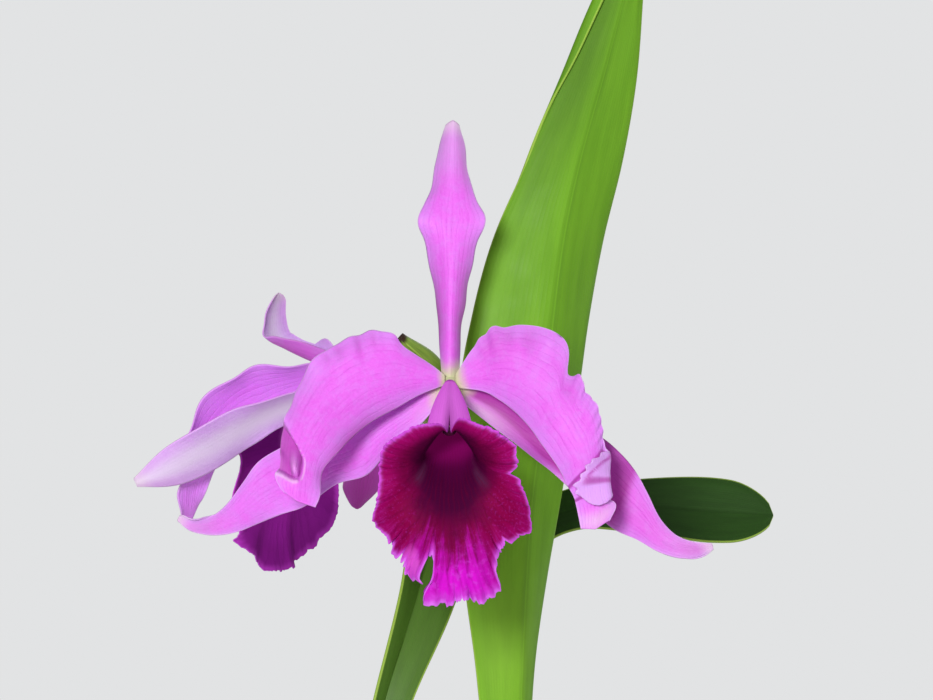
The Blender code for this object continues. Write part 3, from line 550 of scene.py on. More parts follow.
def add_piece(name, mesh, nodes, materials):
    """Links a finished piece, gives it its materials, parents it to the root body and hides the nodes that it
    stands for.
    """
    if not mesh.polygons:
        raise RuntimeError(f"{name} came out without faces")
    piece = bpy.data.objects.new(name, mesh)
    collection().objects.link(piece)
    for finish in materials:
        mesh.materials.append(finish)
    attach(piece, "root")
    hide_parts(*nodes)
    return piece


def add_sheet(name, sheet, materials, thickness, thin, bloom=None, soft_mm=4.0):
    """A thin organ as a solid: its face takes the first material and its back the second. At its margin it
    has a share of its thickness, thin, and it reaches all of it soft_mm further in."""
    points = settle(sheet.points, bloom) if bloom else sheet.points
    mesh = grid_mesh(name, points)
    for word in ("along", "across", "margin", "dusk", "reach", "wax"):
        values = getattr(sheet, word)
        if values is not None:
            set_values(mesh, word, values)
    piece = add_piece(name + "_growth", mesh, [name], materials)
    group = piece.vertex_groups.new(name="thick")
    share = thin + (1 - thin) * np.clip(sheet.margin.reshape(-1) / soft_mm, 0, 1)
    for index, value in enumerate(share):
        group.add([index], float(value), "REPLACE")
    shell = piece.modifiers.new("Thickness", "SOLIDIFY")
    shell.thickness = thickness
    shell.offset = 0
    shell.use_quality_normals = True
    shell.vertex_group = group.name
    shell.thickness_vertex_group = 0.0
    shell.material_offset = 1
    shell.material_offset_rim = 0
    return piece


def tube_points(route, radii, steps, sides, ribs=0, rib_depth=0.0, seed=0, wobble=0.0):
    """A round stem through a few points, with its radius at each, as a grid whose rows are rings."""
    u = np.linspace(0, 1, steps)
    centre, radius = spread(route, u), spread(radii, u)
    ahead = unit(np.gradient(centre, axis=0))
    guide = np.where(np.abs(ahead[:, :1]) < 0.8, [[1.0, 0, 0]], [[0, 1.0, 0]])
    side = unit(guide - ahead * (guide * ahead).sum(axis=1, keepdims=True))
    up = np.cross(ahead, side)
    angle = np.linspace(0, 2 * np.pi, sides, endpoint=False)
    ring = radius[:, None] * (1 - rib_depth * np.sin(ribs * angle / 2)[None, :] ** 2)
    if wobble:
        around = [(math.cos(turn) * ROUGH_ROUND + seed, math.sin(turn) * ROUGH_ROUND) for turn in angle]
        rough = [[noise.noise((row * ROUGH_ALONG, *place)) for place in around] for row in range(steps)]
        ring = ring + wobble * np.array(rough)
    return (
        centre[:, None]
        + side[:, None] * (np.cos(angle)[None, :] * ring)[..., None]
        + up[:, None] * (np.sin(angle)[None, :] * ring)[..., None]
    )


def add_rings(made, points, tone, layers):
    """Adds a closed tube of rings to a bmesh, with caps at both ends and what its material reads."""
    rows, columns = points.shape[:2]
    corners = add_quads(made, points, closed=True)
    made.faces.new(corners[:columns][::-1])
    made.faces.new(corners[-columns:])
    for index, corner in enumerate(corners):
        corner[layers["along"]] = (index // columns) / (rows - 1)
        corner[layers["across"]] = (index % columns) / columns
        corner[layers["tone"]] = tone


def rings_mesh(name, tubes):
    """A mesh of several closed tubes, each (points, tone)."""
    made = bmesh.new()
    layers = {word: made.verts.layers.float.new(word) for word in ("along", "across", "tone")}
    for points, tone in tubes:
        add_rings(made, points, tone, layers)
    bmesh.ops.recalc_face_normals(made, faces=made.faces)
    return new_mesh(made, name)


# Building materials from nodes


def tinted(hue, factor):
    """A colour made darker or brighter."""
    return [min(1, part * factor) for part in hue]


class Nodes:
    """Places shader nodes in a tree, each linked to what it is given: a socket, a number or a colour."""

    def __init__(self, tree):
        self.tree = tree

    def put(self, node, inputs):
        for key, value in inputs.items():
            socket = node.inputs[key]
            if isinstance(value, bpy.types.NodeSocket):
                self.tree.links.new(value, socket)
            elif hasattr(value, "__len__"):
                socket.default_value = (*value, 1) if socket.type == "RGBA" and len(value) == 3 else value
            else:
                socket.default_value = value
        return node

    def add(self, kind, inputs=None, **settings):
        node = self.tree.nodes.new(kind)
        for key, value in settings.items():
            setattr(node, key, value)
        return self.put(node, inputs or {})

    def math(self, operation, a, b=0.0, clamp=False):
        return self.add("ShaderNodeMath", {0: a, 1: b}, operation=operation, use_clamp=clamp).outputs[0]

    def times(self, a, b, clamp=False):
        return self.math("MULTIPLY", a, b, clamp)

    def plus(self, a, b):
        return self.math("ADD", a, b)

    def less(self, a, b):
        return self.math("SUBTRACT", a, b)

    def size(self, a):
        return self.math("ABSOLUTE", a)

    def span(self, value, low, high, to_low=0.0, to_high=1.0, smooth=True):
        """A value's place between two limits, as a number between two others."""
        node = self.add(
            "ShaderNodeMapRange",
            {"Value": value, "From Min": low, "From Max": high, "To Min": to_low, "To Max": to_high},
            interpolation_type="SMOOTHSTEP" if smooth else "LINEAR",
        )
        return node.outputs["Result"]

    def mix(self, share, a, b):
        node = self.add("ShaderNodeMix", data_type="RGBA")
        self.put(node, {0: share, 6: a, 7: b})
        return node.outputs[2]

    def over(self, base, colour, value, low, high, most):
        """A colour laid over a base as a value goes from low to high, as far as a share."""
        return self.mix(self.span(value, low, high, 0, most), base, colour)

    def value(self, name):
        """A number that the mesh carries for each vertex."""
        return self.add("ShaderNodeAttribute", attribute_name=name).outputs["Fac"]

    def values(self, *names):
        return [self.value(name) for name in names]

    def place(self):
        return self.add("ShaderNodeTexCoord").outputs["Object"]

    def noise(self, where, scale, detail=3.0, rough=0.55):
        inputs = {"Vector": where, "Scale": scale, "Detail": detail, "Roughness": rough}
        return self.add("ShaderNodeTexNoise", inputs).outputs["Fac"]

    def spots(self, scale):
        """How far each place lies from the nearest of many scattered points."""
        inputs = {"Vector": self.place(), "Scale": scale}
        return self.add("ShaderNodeTexVoronoi", inputs).outputs["Distance"]

    def point(self, x, y, z=0.0):
        return self.add("ShaderNodeCombineXYZ", {0: x, 1: y, 2: z}).outputs[0]

    def group(self, made, inputs):
        node = self.add("ShaderNodeGroup", node_tree=made)
        return self.put(node, inputs).outputs

    def bump(self, height, strength, distance):
        inputs = {"Height": height, "Strength": strength, "Distance": distance}
        return self.add("ShaderNodeBump", inputs).outputs["Normal"]

    def surface(self, colour, rough, shine, normal=None, flesh=(), more=()):
        """Feeds the Principled shader. Flesh is how light wanders below the surface: its share, its reach in
        red, green and blue, and its scale in metres."""
        inputs = {"Base Color": colour, "Roughness": rough, "Specular IOR Level": shine}
        if normal is not None:
            inputs["Normal"] = normal
        inputs.update(zip(("Subsurface Weight", "Subsurface Radius", "Subsurface Scale"), flesh))
        inputs.update(more)
        self.put(self.tree.nodes["Principled BSDF"], inputs)


def effect_group(name, inputs, outputs):
    """A new node group, its builder, its input sockets and its output node."""
    made = bpy.data.node_groups.new(name, "ShaderNodeTree")
    for label, value in inputs.items():
        socket = made.interface.new_socket(label, in_out="INPUT", socket_type="NodeSocketFloat")
        socket.default_value = value
    for label in outputs:
        made.interface.new_socket(label, in_out="OUTPUT", socket_type="NodeSocketFloat")
    build = Nodes(made)
    return made, build, build.add("NodeGroupInput").outputs, build.add("NodeGroupOutput")


# Fixed tints of the finishes, as linear colours, beside those that a user can change

PETAL_SPARKLE = (0.80, 0.23, 0.82)
PETAL_FOLDED = (0.60, 0.30, 0.74)
PETAL_RIM_HIGHLIGHT = (0.70, 0.42, 0.80)
PETAL_SHADOW = (0.35, 0.018, 0.29)
SEPAL_FAR_HALF = (0.60, 0.33, 0.68)
SEPAL_BACK_SPARKLE = (0.74, 0.58, 0.82)
SEPAL_BACK_RIB = (0.74, 0.62, 0.82)
LIP_WINE_MARGIN = (0.28, 0.0008, 0.11)
LIP_FRINGE = (0.62, 0.085, 0.56)
LIP_FOLD_SHADOW = (0.012, 0.0, 0.007)
LIP_SHEEN = (0.085, 0.020, 0.065)
LIP_CRISP = (0.60, 0.15, 0.72)
THROAT_GLOW = (0.26, 0.003, 0.12)
# The column's plum tones are painted shade: it sits in the dark throat.
COLUMN_SHADE_PLUM = (0.20, 0.01, 0.12)
COLUMN_STREAK = (0.34, 0.05, 0.24)
COLUMN_SPOT = (0.10, 0.0, 0.05)
CAP_SHADE = (0.05, 0.001, 0.022)
CAP_SHADE_PATCH = (0.08, 0.003, 0.04)
LEAF_SPECK = (0.05, 0.045, 0.02)
SHEATH_TIP = (0.035, 0.018, 0.010)
STEM_SPOT = (0.20, 0.06, 0.10)
HUSK_STRAW = (0.47, 0.40, 0.26)
HUSK_BROWN = (0.30, 0.19, 0.10)
BARK_CRACK = (0.06, 0.028, 0.014)
BARK_BREAK = (0.36, 0.22, 0.12)
CLAY_GRIT = (0.62, 0.33, 0.19)
WOOD_OLIVE = (0.20, 0.17, 0.06)
WOOD_BROWN = (0.11, 0.075, 0.035)
ROOT_SILVER = (0.55, 0.56, 0.47)
ROOT_GREY = (0.36, 0.38, 0.26)
ROOT_TIP = (0.22, 0.33, 0.10)
FLOOR_CLOUD = (0.7, 0.7, 0.7)


def vein_group():
    """Veins that run along a blade, spread with its width and wander a little, with finer ones between."""
    made = bpy.data.node_groups.get("Blade Veins")
    if made:
        return made
    made, build, given, out = effect_group(
        "Blade Veins", {"Along": 0, "Across": 0, "Count": 9, "Wander": 0.5, "Sharpness": 6}, ["Veins", "Fine"]
    )
    drift = build.noise(build.point(build.times(given["Along"], 3), given["Across"]), 2.2, 2)
    drift = build.times(build.less(drift, 0.5), given["Wander"])
    lane = build.plus(build.times(given["Across"], given["Count"]), drift)
    for label, share in (("Veins", 1.0), ("Fine", 3.0)):
        saw = build.math("PINGPONG", build.times(lane, share), 0.5)
        line = build.math("POWER", build.less(1.0, build.times(saw, 2)), given["Sharpness"])
        broken = build.noise(build.point(build.times(given["Along"], 6), lane), 1.7, 3)
        build.put(out, {label: build.times(line, build.span(broken, 0.3, 0.62), clamp=True)})
    return made


def veined(build, along, across, count, wander, sharpness):
    """The outputs of the vein group, set for one kind of blade."""
    inputs = {"Along": along, "Across": across, "Count": count, "Wander": wander, "Sharpness": sharpness}
    return build.group(vein_group(), inputs)


def grained(build, patches, cells):
    """The outputs of the grain group, at two scales."""
    return build.group(grain_group(), {"Patch Scale": patches, "Cell Scale": cells})


def grain_group():
    """The uneven tone and the fine cell relief of a living surface."""
    made = bpy.data.node_groups.get("Living Grain")
    if made:
        return made
    made, build, given, out = effect_group(
        "Living Grain", {"Patch Scale": 60, "Cell Scale": 1500}, ["Patch", "Cells"]
    )
    where = build.place()
    build.put(out, {"Patch": build.span(build.noise(where, given["Patch Scale"], 4), 0.3, 0.7)})
    build.put(out, {"Cells": build.noise(where, given["Cell Scale"], 2, 0.6)})
    return made


def material(dress):
    """Lets a function that dresses a material's nodes make and return that material, once for each name."""

    def named(name, *given, **more):
        made = bpy.data.materials.get(name)
        if made is None:
            made = bpy.data.materials.new(name)
            made.use_nodes = True
            dress(Nodes(made.node_tree), *given, **more)
        return made

    return named


@material
def petal_material(build, looks, hue, deep, glow, tip=0.0, pale=0.0, rib=None):
    """Petal tissue: its hue with deeper veins, a greenish foot, lilac margins, a waxy tip if tip is above 0,
    and a rib along its middle if given a colour for it. Painted shade darkens it where the relief lays it,
    and a painted highlight pales its rim and the brinks of its creases."""
    along, across, margin, dusk = build.values("along", "across", "margin", "dusk")
    veins = veined(build, along, across, 6, 1.3, 4)
    grain = grained(build, 45, 1500)
    bands = build.noise(build.point(build.times(along, 2.2), build.times(across, 5)), 1.3, 4, 0.5)
    soft = build.over(hue, deep, bands, 0.45, 0.75, 0.35)
    soft = build.over(soft, looks.lilac, grain["Patch"], 0.45, 1.0, 0.25)
    outer = build.size(across)
    edged = build.over(soft, looks.lilac, outer, 0.4, 1.0, 0.62)
    mottle = build.noise(build.place(), 300, 4, 0.65)
    edged = build.over(edged, looks.lilac, mottle, 0.45, 0.62, 0.22)
    edged = build.over(edged, hue, mottle, 0.48, 0.34, 0.16)
    lined = build.mix(build.times(veins["Veins"], 0.13), edged, deep)
    lined = build.mix(build.times(veins["Fine"], 0.07), lined, deep)
    sparkle = build.span(grain["Cells"], 0.35, 0.68)
    lined = build.mix(build.times(sparkle, 0.18), lined, glow)
    lined = build.over(lined, PETAL_FOLDED, outer, 1.02, 1.3, 0.85)
    # painted highlight: the thin rim at each margin is paled where its edge catches the light
    lined = build.over(lined, PETAL_RIM_HIGHLIGHT, margin, 0.55, 0.15, 0.5)
    if tip:
        lined = build.over(lined, SEPAL_FAR_HALF, along, 0.66, 0.95, 0.55)
    if rib:
        lined = build.over(lined, rib, outer, 0.7, 0.05, 0.75)
    # painted shade: the shadows cast on the tissue and the shade in its folds, as the relief lays them
    lined = build.mix(build.times(dusk, 0.95), lined, PETAL_SHADOW)
    foot = build.plus(along, build.times(build.less(grain["Patch"], 0.5), 0.03))
    footed = build.mix(build.span(foot, 0.05 + pale, 0.01, 0, 1), lined, looks.base)
    ended = build.mix(build.span(along, 1 - 0.08 * tip, 1.0, 0, 0.6), footed, looks.tip) if tip else footed
    # pale tissue at ledges and swells, and a painted highlight on the brinks of creases
    ended = build.mix(build.times(build.value("wax"), 0.8), ended, looks.tip)
    relief = build.plus(build.times(veins["Veins"], -0.5), build.times(grain["Cells"], 0.35))
    relief = build.plus(relief, build.times(bands, -0.5))
    rough = build.span(grain["Cells"], 0.3, 0.7, 0.42, 0.6)
    build.surface(
        ended, rough, 0.25, build.bump(relief, 0.2 if rib else 0.4, 0.0005),
        flesh=(0.08, (1.0, 0.35, 0.9), 0.0012), more={"Sheen Weight": 0.05, "Sheen Roughness": 0.4},
    )


# Where the lip's colours change. Angles are in degrees from its floor, depths in mm past its tube.

LIP_THROAT_EDGE, LIP_THROAT_TONGUE = 9.5, 12.5
LIP_FRINGE_ANGLE, LIP_FRINGE_WIDTH, LIP_FRINGE_DEPTH = 24.0, (7.5, 4.5), (28.0, 33.5)
# The flank places are where the painted sheen lies.
LIP_FLANK_ANGLE, LIP_FLANK_WIDTH, LIP_FLANK_DEPTH = 56.0, 13.0, 6.0


@material
def lip_material(build, looks, face=True):
    """The lip: a maroon throat, crimson sides, a bright front lobe with dark branching veins, a lilac rim;
    painted shadow in its V folds and along its seam, a painted sheen on the throat's flanks, and painted
    light inside its tube.
    """
    along, across, margin = build.values("along", "across", "margin")
    veins = veined(build, along, across, 26, 1.8, 3)
    grain = grained(build, 110, 1400)
    if face:
        uneven = build.times(build.less(grain["Patch"], 0.5), 5.0)
        depth = build.plus(build.value("reach"), uneven)
        front = build.math("COSINE", build.times(across, math.radians(LIP_SEAM)))
        forward = build.math("POWER", build.math("MAXIMUM", front, 0.0), 4.0)
        edge = build.plus(LIP_THROAT_EDGE, build.times(forward, LIP_THROAT_TONGUE))
        lanes = build.point(build.times(across, 34), build.times(along, 3.2))
        tongues = build.noise(lanes, 1.0, 5, 0.62)
        past = build.less(depth, edge)
        uneven_past = build.plus(past, build.times(build.less(tongues, 0.5), 26.0))
        zone = build.mix(build.span(past, -7.0, 8.0), looks.throat, looks.crimson)
        zone = build.over(zone, LIP_WINE_MARGIN, margin, 8.0, 1.0, 0.7)
        bright = build.times(build.span(uneven_past, 1.0, 15.0), build.span(front, 0.84, 0.985))
        zone = build.mix(bright, zone, looks.lobe)
        aside = build.plus(build.times(across, LIP_SEAM), LIP_FRINGE_ANGLE)
        beside = build.span(build.size(aside), *LIP_FRINGE_WIDTH)
        fringe = build.times(beside, build.span(depth, *LIP_FRINGE_DEPTH))
        zone = build.mix(build.times(fringe, 0.75), zone, LIP_FRINGE)
        # painted light: the inside of the tube takes a brighter copy of the throat colour where shade would
        # fall
        inside = build.span(along, LIP_TUBE_SHARE + 0.12, LIP_TUBE_SHARE - 0.16)
        zone = build.mix(inside, zone, tinted(looks.throat, 2.6))
        # painted shadow: near-black V lines where the side lobes turn into the tube
        shoulder_shadow = build.times(build.span(front, 0.45, 0.1), build.span(front, -0.999, -0.97))
        fold = build.times(build.span(build.size(depth), 2.6, 0.6), shoulder_shadow)
        zone = build.mix(build.times(fold, 0.7), zone, LIP_FOLD_SHADOW)
        # painted sheen: two bluish glints on the throat's flanks, where the V lines end
        flank = build.less(build.times(build.size(across), LIP_SEAM), LIP_FLANK_ANGLE)
        near_flank = build.span(build.size(flank), LIP_FLANK_WIDTH, 0.0)
        near_depth = build.span(build.size(build.less(depth, LIP_FLANK_DEPTH)), LIP_FLANK_DEPTH, 0.0)
        sheen = build.times(near_flank, near_depth)
        zone = build.mix(build.times(sheen, 0.5), zone, LIP_SHEEN)
        dark = build.times(veins["Veins"], build.span(past, 26.0, 6.0, 0.22, 0.6))
        dark = build.times(dark, build.span(front, 0.2, 0.8, 0.35, 1.0))
        zone = build.mix(dark, zone, tinted(looks.crimson, 0.5))
        frost = build.span(grain["Cells"], 0.52, 0.74, 0, 0.14)
        crinkle = build.noise(build.place(), 520, 4, 0.6)
        speckle = build.times(build.span(crinkle, 0.5, 0.66, 0, 0.45), bright)
        frost = build.plus(frost, speckle)
        hairs = build.noise(build.point(build.times(across, 150), build.times(along, 5)), 1, 3)
        frost = build.plus(frost, build.times(build.span(hairs, 0.5, 0.75), build.span(margin, 8, 1, 0, 0.2)))
        zone = build.mix(build.times(frost, build.span(past, -2.0, 8.0)), zone, looks.rim)
        wide = build.plus(1.3, build.times(build.span(front, 0.7, 0.95), 3.6))
        rim = build.mix(build.span(build.math("DIVIDE", margin, wide), 1.0, 0.1, 0, 0.9), zone, looks.rim)
        crisp = build.times(build.span(margin, 2.0, 0.1), build.span(front, 0.6, 0.95, 0.25, 1.0))
        rim = build.mix(build.times(crisp, 0.8), rim, LIP_CRISP)
    else:
        rib = build.span(build.size(across), 0.12, 0.0, 0, 0.5)
        zone = build.mix(build.span(along, 0.36, 0.5), looks.tube, looks.outside)
        zone = build.mix(rib, zone, tinted(looks.outside, 1.7))
        # painted shade along the seam's valley on top of the tube
        valley_shade = build.span(build.size(across), 0.90, 1.0, 0, 0.8)
        opening = build.span(along, 0.14, 0.36, 0.3, 1.0)
        zone = build.mix(build.times(valley_shade, opening), zone, tinted(looks.tube, 0.45))
        zone = build.mix(build.times(veins["Veins"], 0.12), zone, tinted(looks.outside, 0.5))
        rim = build.over(zone, looks.rim, margin, 3.0, 0.3, 0.8)
    relief = build.plus(build.times(veins["Veins"], 0.6), build.times(grain["Cells"], 0.4))
    more = {}
    if face:
        relief = build.plus(relief, build.times(crinkle, build.times(bright, 3.0)))
        # painted light: a faint glow deep in the tube stands in for the light that reaches into the throat
        deep = build.span(along, LIP_TUBE_SHARE + 0.02, LIP_TUBE_SHARE - 0.08)
        more = {"Emission Color": build.mix(deep, (0, 0, 0), THROAT_GLOW), "Emission Strength": 0.3}
    rough = build.span(grain["Cells"], 0.3, 0.7, 0.5, 0.7)
    build.surface(rim, rough, 0.02, build.bump(relief, 0.28, 0.0004), more=more)


@material
def leaf_material(build, looks, body, streak, gloss=0.42, dry=False):
    """Leathery leaf tissue with fine parallel veins, a darker band along its keel with a painted highlight on
    the keel's crest, a hard yellow margin, a few dark specks, and a brown tip if dry. Painted shade and
    painted light darken and pale it where its relief lays them."""
    along, across, margin, dusk = build.values("along", "across", "margin", "dusk")
    veins = veined(build, along, across, 16, 0.25, 2)
    grain = grained(build, 32, 900)
    cloud = build.noise(build.point(build.times(along, 5), build.times(across, 2.4)), 1.4, 4)
    tone = build.over(body, streak, cloud, 0.32, 0.72, 0.6)
    tone = build.mix(build.times(veins["Veins"], 0.10), tone, streak)
    keel = build.size(across)
    tone = build.over(tone, tinted(streak, 0.7), keel, 0.09, 0.0, 0.5)
    # painted highlight: a thin pale line on the keel's crest
    tone = build.over(tone, tinted(body, 1.2), keel, 0.018, 0.0, 0.5)
    specks = build.spots(85.0)
    worn = build.noise(build.place(), 22, 2)
    spots = build.times(build.span(specks, 0.09, 0.03), build.span(worn, 0.56, 0.66))
    tone = build.mix(build.times(spots, 0.7), tone, LEAF_SPECK)
    # painted shade: the shaded parts of a leaf, darkened toward a deep copy of its streak colour
    tone = build.mix(build.times(dusk, 0.8), tone, tinted(streak, 0.35))
    # painted light: paled toward the margin colour where the relief brightens a leaf that the bloom shades
    tone = build.mix(build.times(build.value("wax"), 0.8), tone, looks.edge)
    tone = build.over(tone, looks.edge, margin, 0.6, 0.15, 0.7)
    if dry:
        tone = build.mix(build.span(along, 0.972, 0.992), tone, SHEATH_TIP)
    relief = build.plus(veins["Veins"], build.times(grain["Cells"], 0.5))
    rough = build.span(grain["Patch"], 0, 1, gloss, gloss + 0.14)
    build.surface(tone, rough, 0.15, build.bump(relief, 0.12, 0.0003), flesh=(0.05, (0.4, 1.0, 0.2), 0.001))


@material
def stem_material(build, body, streak, spots=STEM_SPOT, ribs=9.0, rough=0.42, far_end=None):
    """A living stem, streaked along its length and faintly spotted. Its far end can have its own colour."""
    along, across = build.value("along"), build.value("across")
    grain = grained(build, 70, 1100)
    around = build.times(across, 2 * math.pi)
    turn = build.point(
        build.times(build.math("COSINE", around), 2.2),
        build.times(build.math("SINE", around), 2.2),
        build.times(along, 1.6),
    )
    streaks = build.span(build.noise(turn, 3.2, 5, 0.65), 0.35, 0.7)
    tone = build.mix(build.times(streaks, 0.7), body, streak)
    ridge = build.math("SINE", build.times(around, ribs))
    tone = build.over(tone, tinted(body, 1.3), ridge, 0.5, 1.0, 0.25)
    dots = build.spots(420.0)
    thin = build.span(build.noise(build.place(), 90, 3), 0.5, 0.72)
    tone = build.mix(build.times(build.span(dots, 0.24, 0.1), thin), tone, spots)
    if far_end:
        tone = build.mix(build.span(along, 0.9, 1.0), tone, far_end)
    relief = build.bump(build.plus(grain["Cells"], streaks), 0.3, 0.0005)
    uneven = build.span(grain["Patch"], 0, 1, rough, rough + 0.16)
    build.surface(tone, uneven, 0.4, relief, flesh=(0.04, (0.5, 1.0, 0.3), 0.001))


@material
def husk_material(build, looks):
    """Dry paper: pale fibres along the bract, brown toward its torn edge."""
    along, across, margin = build.values("along", "across", "margin")
    fibres = veined(build, along, across, 34, 1.0, 1.5)
    grain = grained(build, 80, 900)
    tone = build.mix(build.times(fibres["Veins"], 0.55), looks.husk, tinted(looks.husk, 0.7))
    tone = build.mix(build.times(grain["Patch"], 0.45), tone, HUSK_STRAW)
    tone = build.over(tone, HUSK_BROWN, along, 0.55, 1.0, 0.55)
    tone = build.over(tone, HUSK_BROWN, margin, 2.4, 0.2, 0.6)
    relief = build.plus(fibres["Veins"], build.times(grain["Cells"], 0.6))
    build.surface(tone, 0.72, 0.25, build.bump(relief, 0.6, 0.0006))


@material
def bark_material(build, looks):
    """Conifer bark: warm brown broken faces and grey weathered ones, with layered fibres."""
    where, tone_value = build.place(), build.value("tone")
    layers = build.add(
        "ShaderNodeTexWave",
        {"Vector": where, "Scale": 120.0, "Distortion": 9.0, "Detail": 4.0, "Detail Scale": 1.6},
        wave_type="BANDS",
    ).outputs["Fac"]
    rough = build.noise(where, 260, 6, 0.65)
    tone = build.mix(build.span(tone_value, 0.1, 0.9, 0, 0.85), looks.bark, looks.ash)
    tone = build.mix(build.times(layers, 0.5), tone, BARK_CRACK)
    tone = build.over(tone, BARK_BREAK, rough, 0.55, 0.8, 0.55)
    relief = build.plus(build.times(layers, 0.6), rough)
    build.surface(tone, build.span(rough, 0.3, 0.7, 0.74, 0.95), 0.25, build.bump(relief, 0.8, 0.0009))


@material
def clay_material(build, looks):
    """Fired clay: fine turning lines, darker where damp, with a lime bloom low down and under the rim."""
    where = build.place()
    height = build.add("ShaderNodeSeparateXYZ", {0: where}).outputs["Z"]
    grit = build.noise(where, 900, 4, 0.7)
    clouds = build.noise(where, 17, 5, 0.6)
    lines = build.noise(build.point(0, 0, height), 900, 3, 0.5)
    tone = build.mix(build.span(clouds, 0.35, 0.7, 0, 0.5), looks.clay, tinted(looks.clay, 0.72))
    tone = build.over(tone, tinted(looks.clay, 1.3), lines, 0.5, 0.75, 0.3)
    tone = build.over(tone, CLAY_GRIT, grit, 0.62, 0.75, 0.5)
    low = build.span(height, 0.05, 0.0, 0, 0.45)
    below_rim = build.times(build.span(height, 0.075, 0.1, 0, 0.5), build.span(height, 0.104, 0.1))
    lime = build.times(build.plus(low, below_rim), build.span(build.noise(where, 42, 6, 0.7), 0.42, 0.66))
    tone = build.mix(lime, tone, looks.lime)
    relief = build.plus(build.times(lines, 0.8), build.times(grit, 0.5))
    build.surface(tone, build.span(clouds, 0.3, 0.7, 0.78, 0.92), 0.3, build.bump(relief, 0.5, 0.0005))


@material
def anther_material(build, looks):
    """The anther cap: a waxy pale crest on top where it faces up, and painted plum shade below, where it sits
    in the dark throat.
    """
    facing = build.add("ShaderNodeNewGeometry").outputs["Normal"]
    rise = build.add("ShaderNodeSeparateXYZ", {0: facing}).outputs["Z"]
    grain = grained(build, 500, 2500)
    # painted shade: plum below; the cap's own pale cream shows only where it faces up
    plum = build.mix(grain["Patch"], CAP_SHADE, CAP_SHADE_PATCH)
    tone = build.mix(build.span(rise, 0.62, 0.88), plum, looks.cap)
    build.surface(tone, 0.6, 0.1, build.bump(grain["Cells"], 0.2, 0.0002))


@material
def root_material(build):
    """A woody olive stem (tone 0) and silvery roots that are greener toward their growing ends (tone 1)."""
    along, tone_value = build.value("along"), build.value("tone")
    grain = grained(build, 120, 1300)
    wood = build.mix(grain["Patch"], WOOD_OLIVE, WOOD_BROWN)
    silver = build.mix(build.times(grain["Patch"], 0.7), ROOT_SILVER, ROOT_GREY)
    silver = build.over(silver, ROOT_TIP, along, 0.86, 1.0, 0.8)
    rough = build.span(grain["Cells"], 0.3, 0.7, 0.6, 0.85)
    build.surface(build.mix(tone_value, wood, silver), rough, 0.3, build.bump(grain["Cells"], 0.5, 0.0006))


@material
def floor_material(build, looks, radius, fade):
    """The studio's floor, slightly clouded, which fades out toward its edge."""
    tone = build.noise(build.place(), 1.5, 2)
    far = build.add("ShaderNodeVectorMath", {0: build.place()}, operation="LENGTH").outputs["Value"]
    tone = build.mix(build.times(tone, 0.05), looks.floor, FLOOR_CLOUD)
    build.surface(tone, 0.9, 0.1, more={"Alpha": build.span(far, radius, radius - fade)})
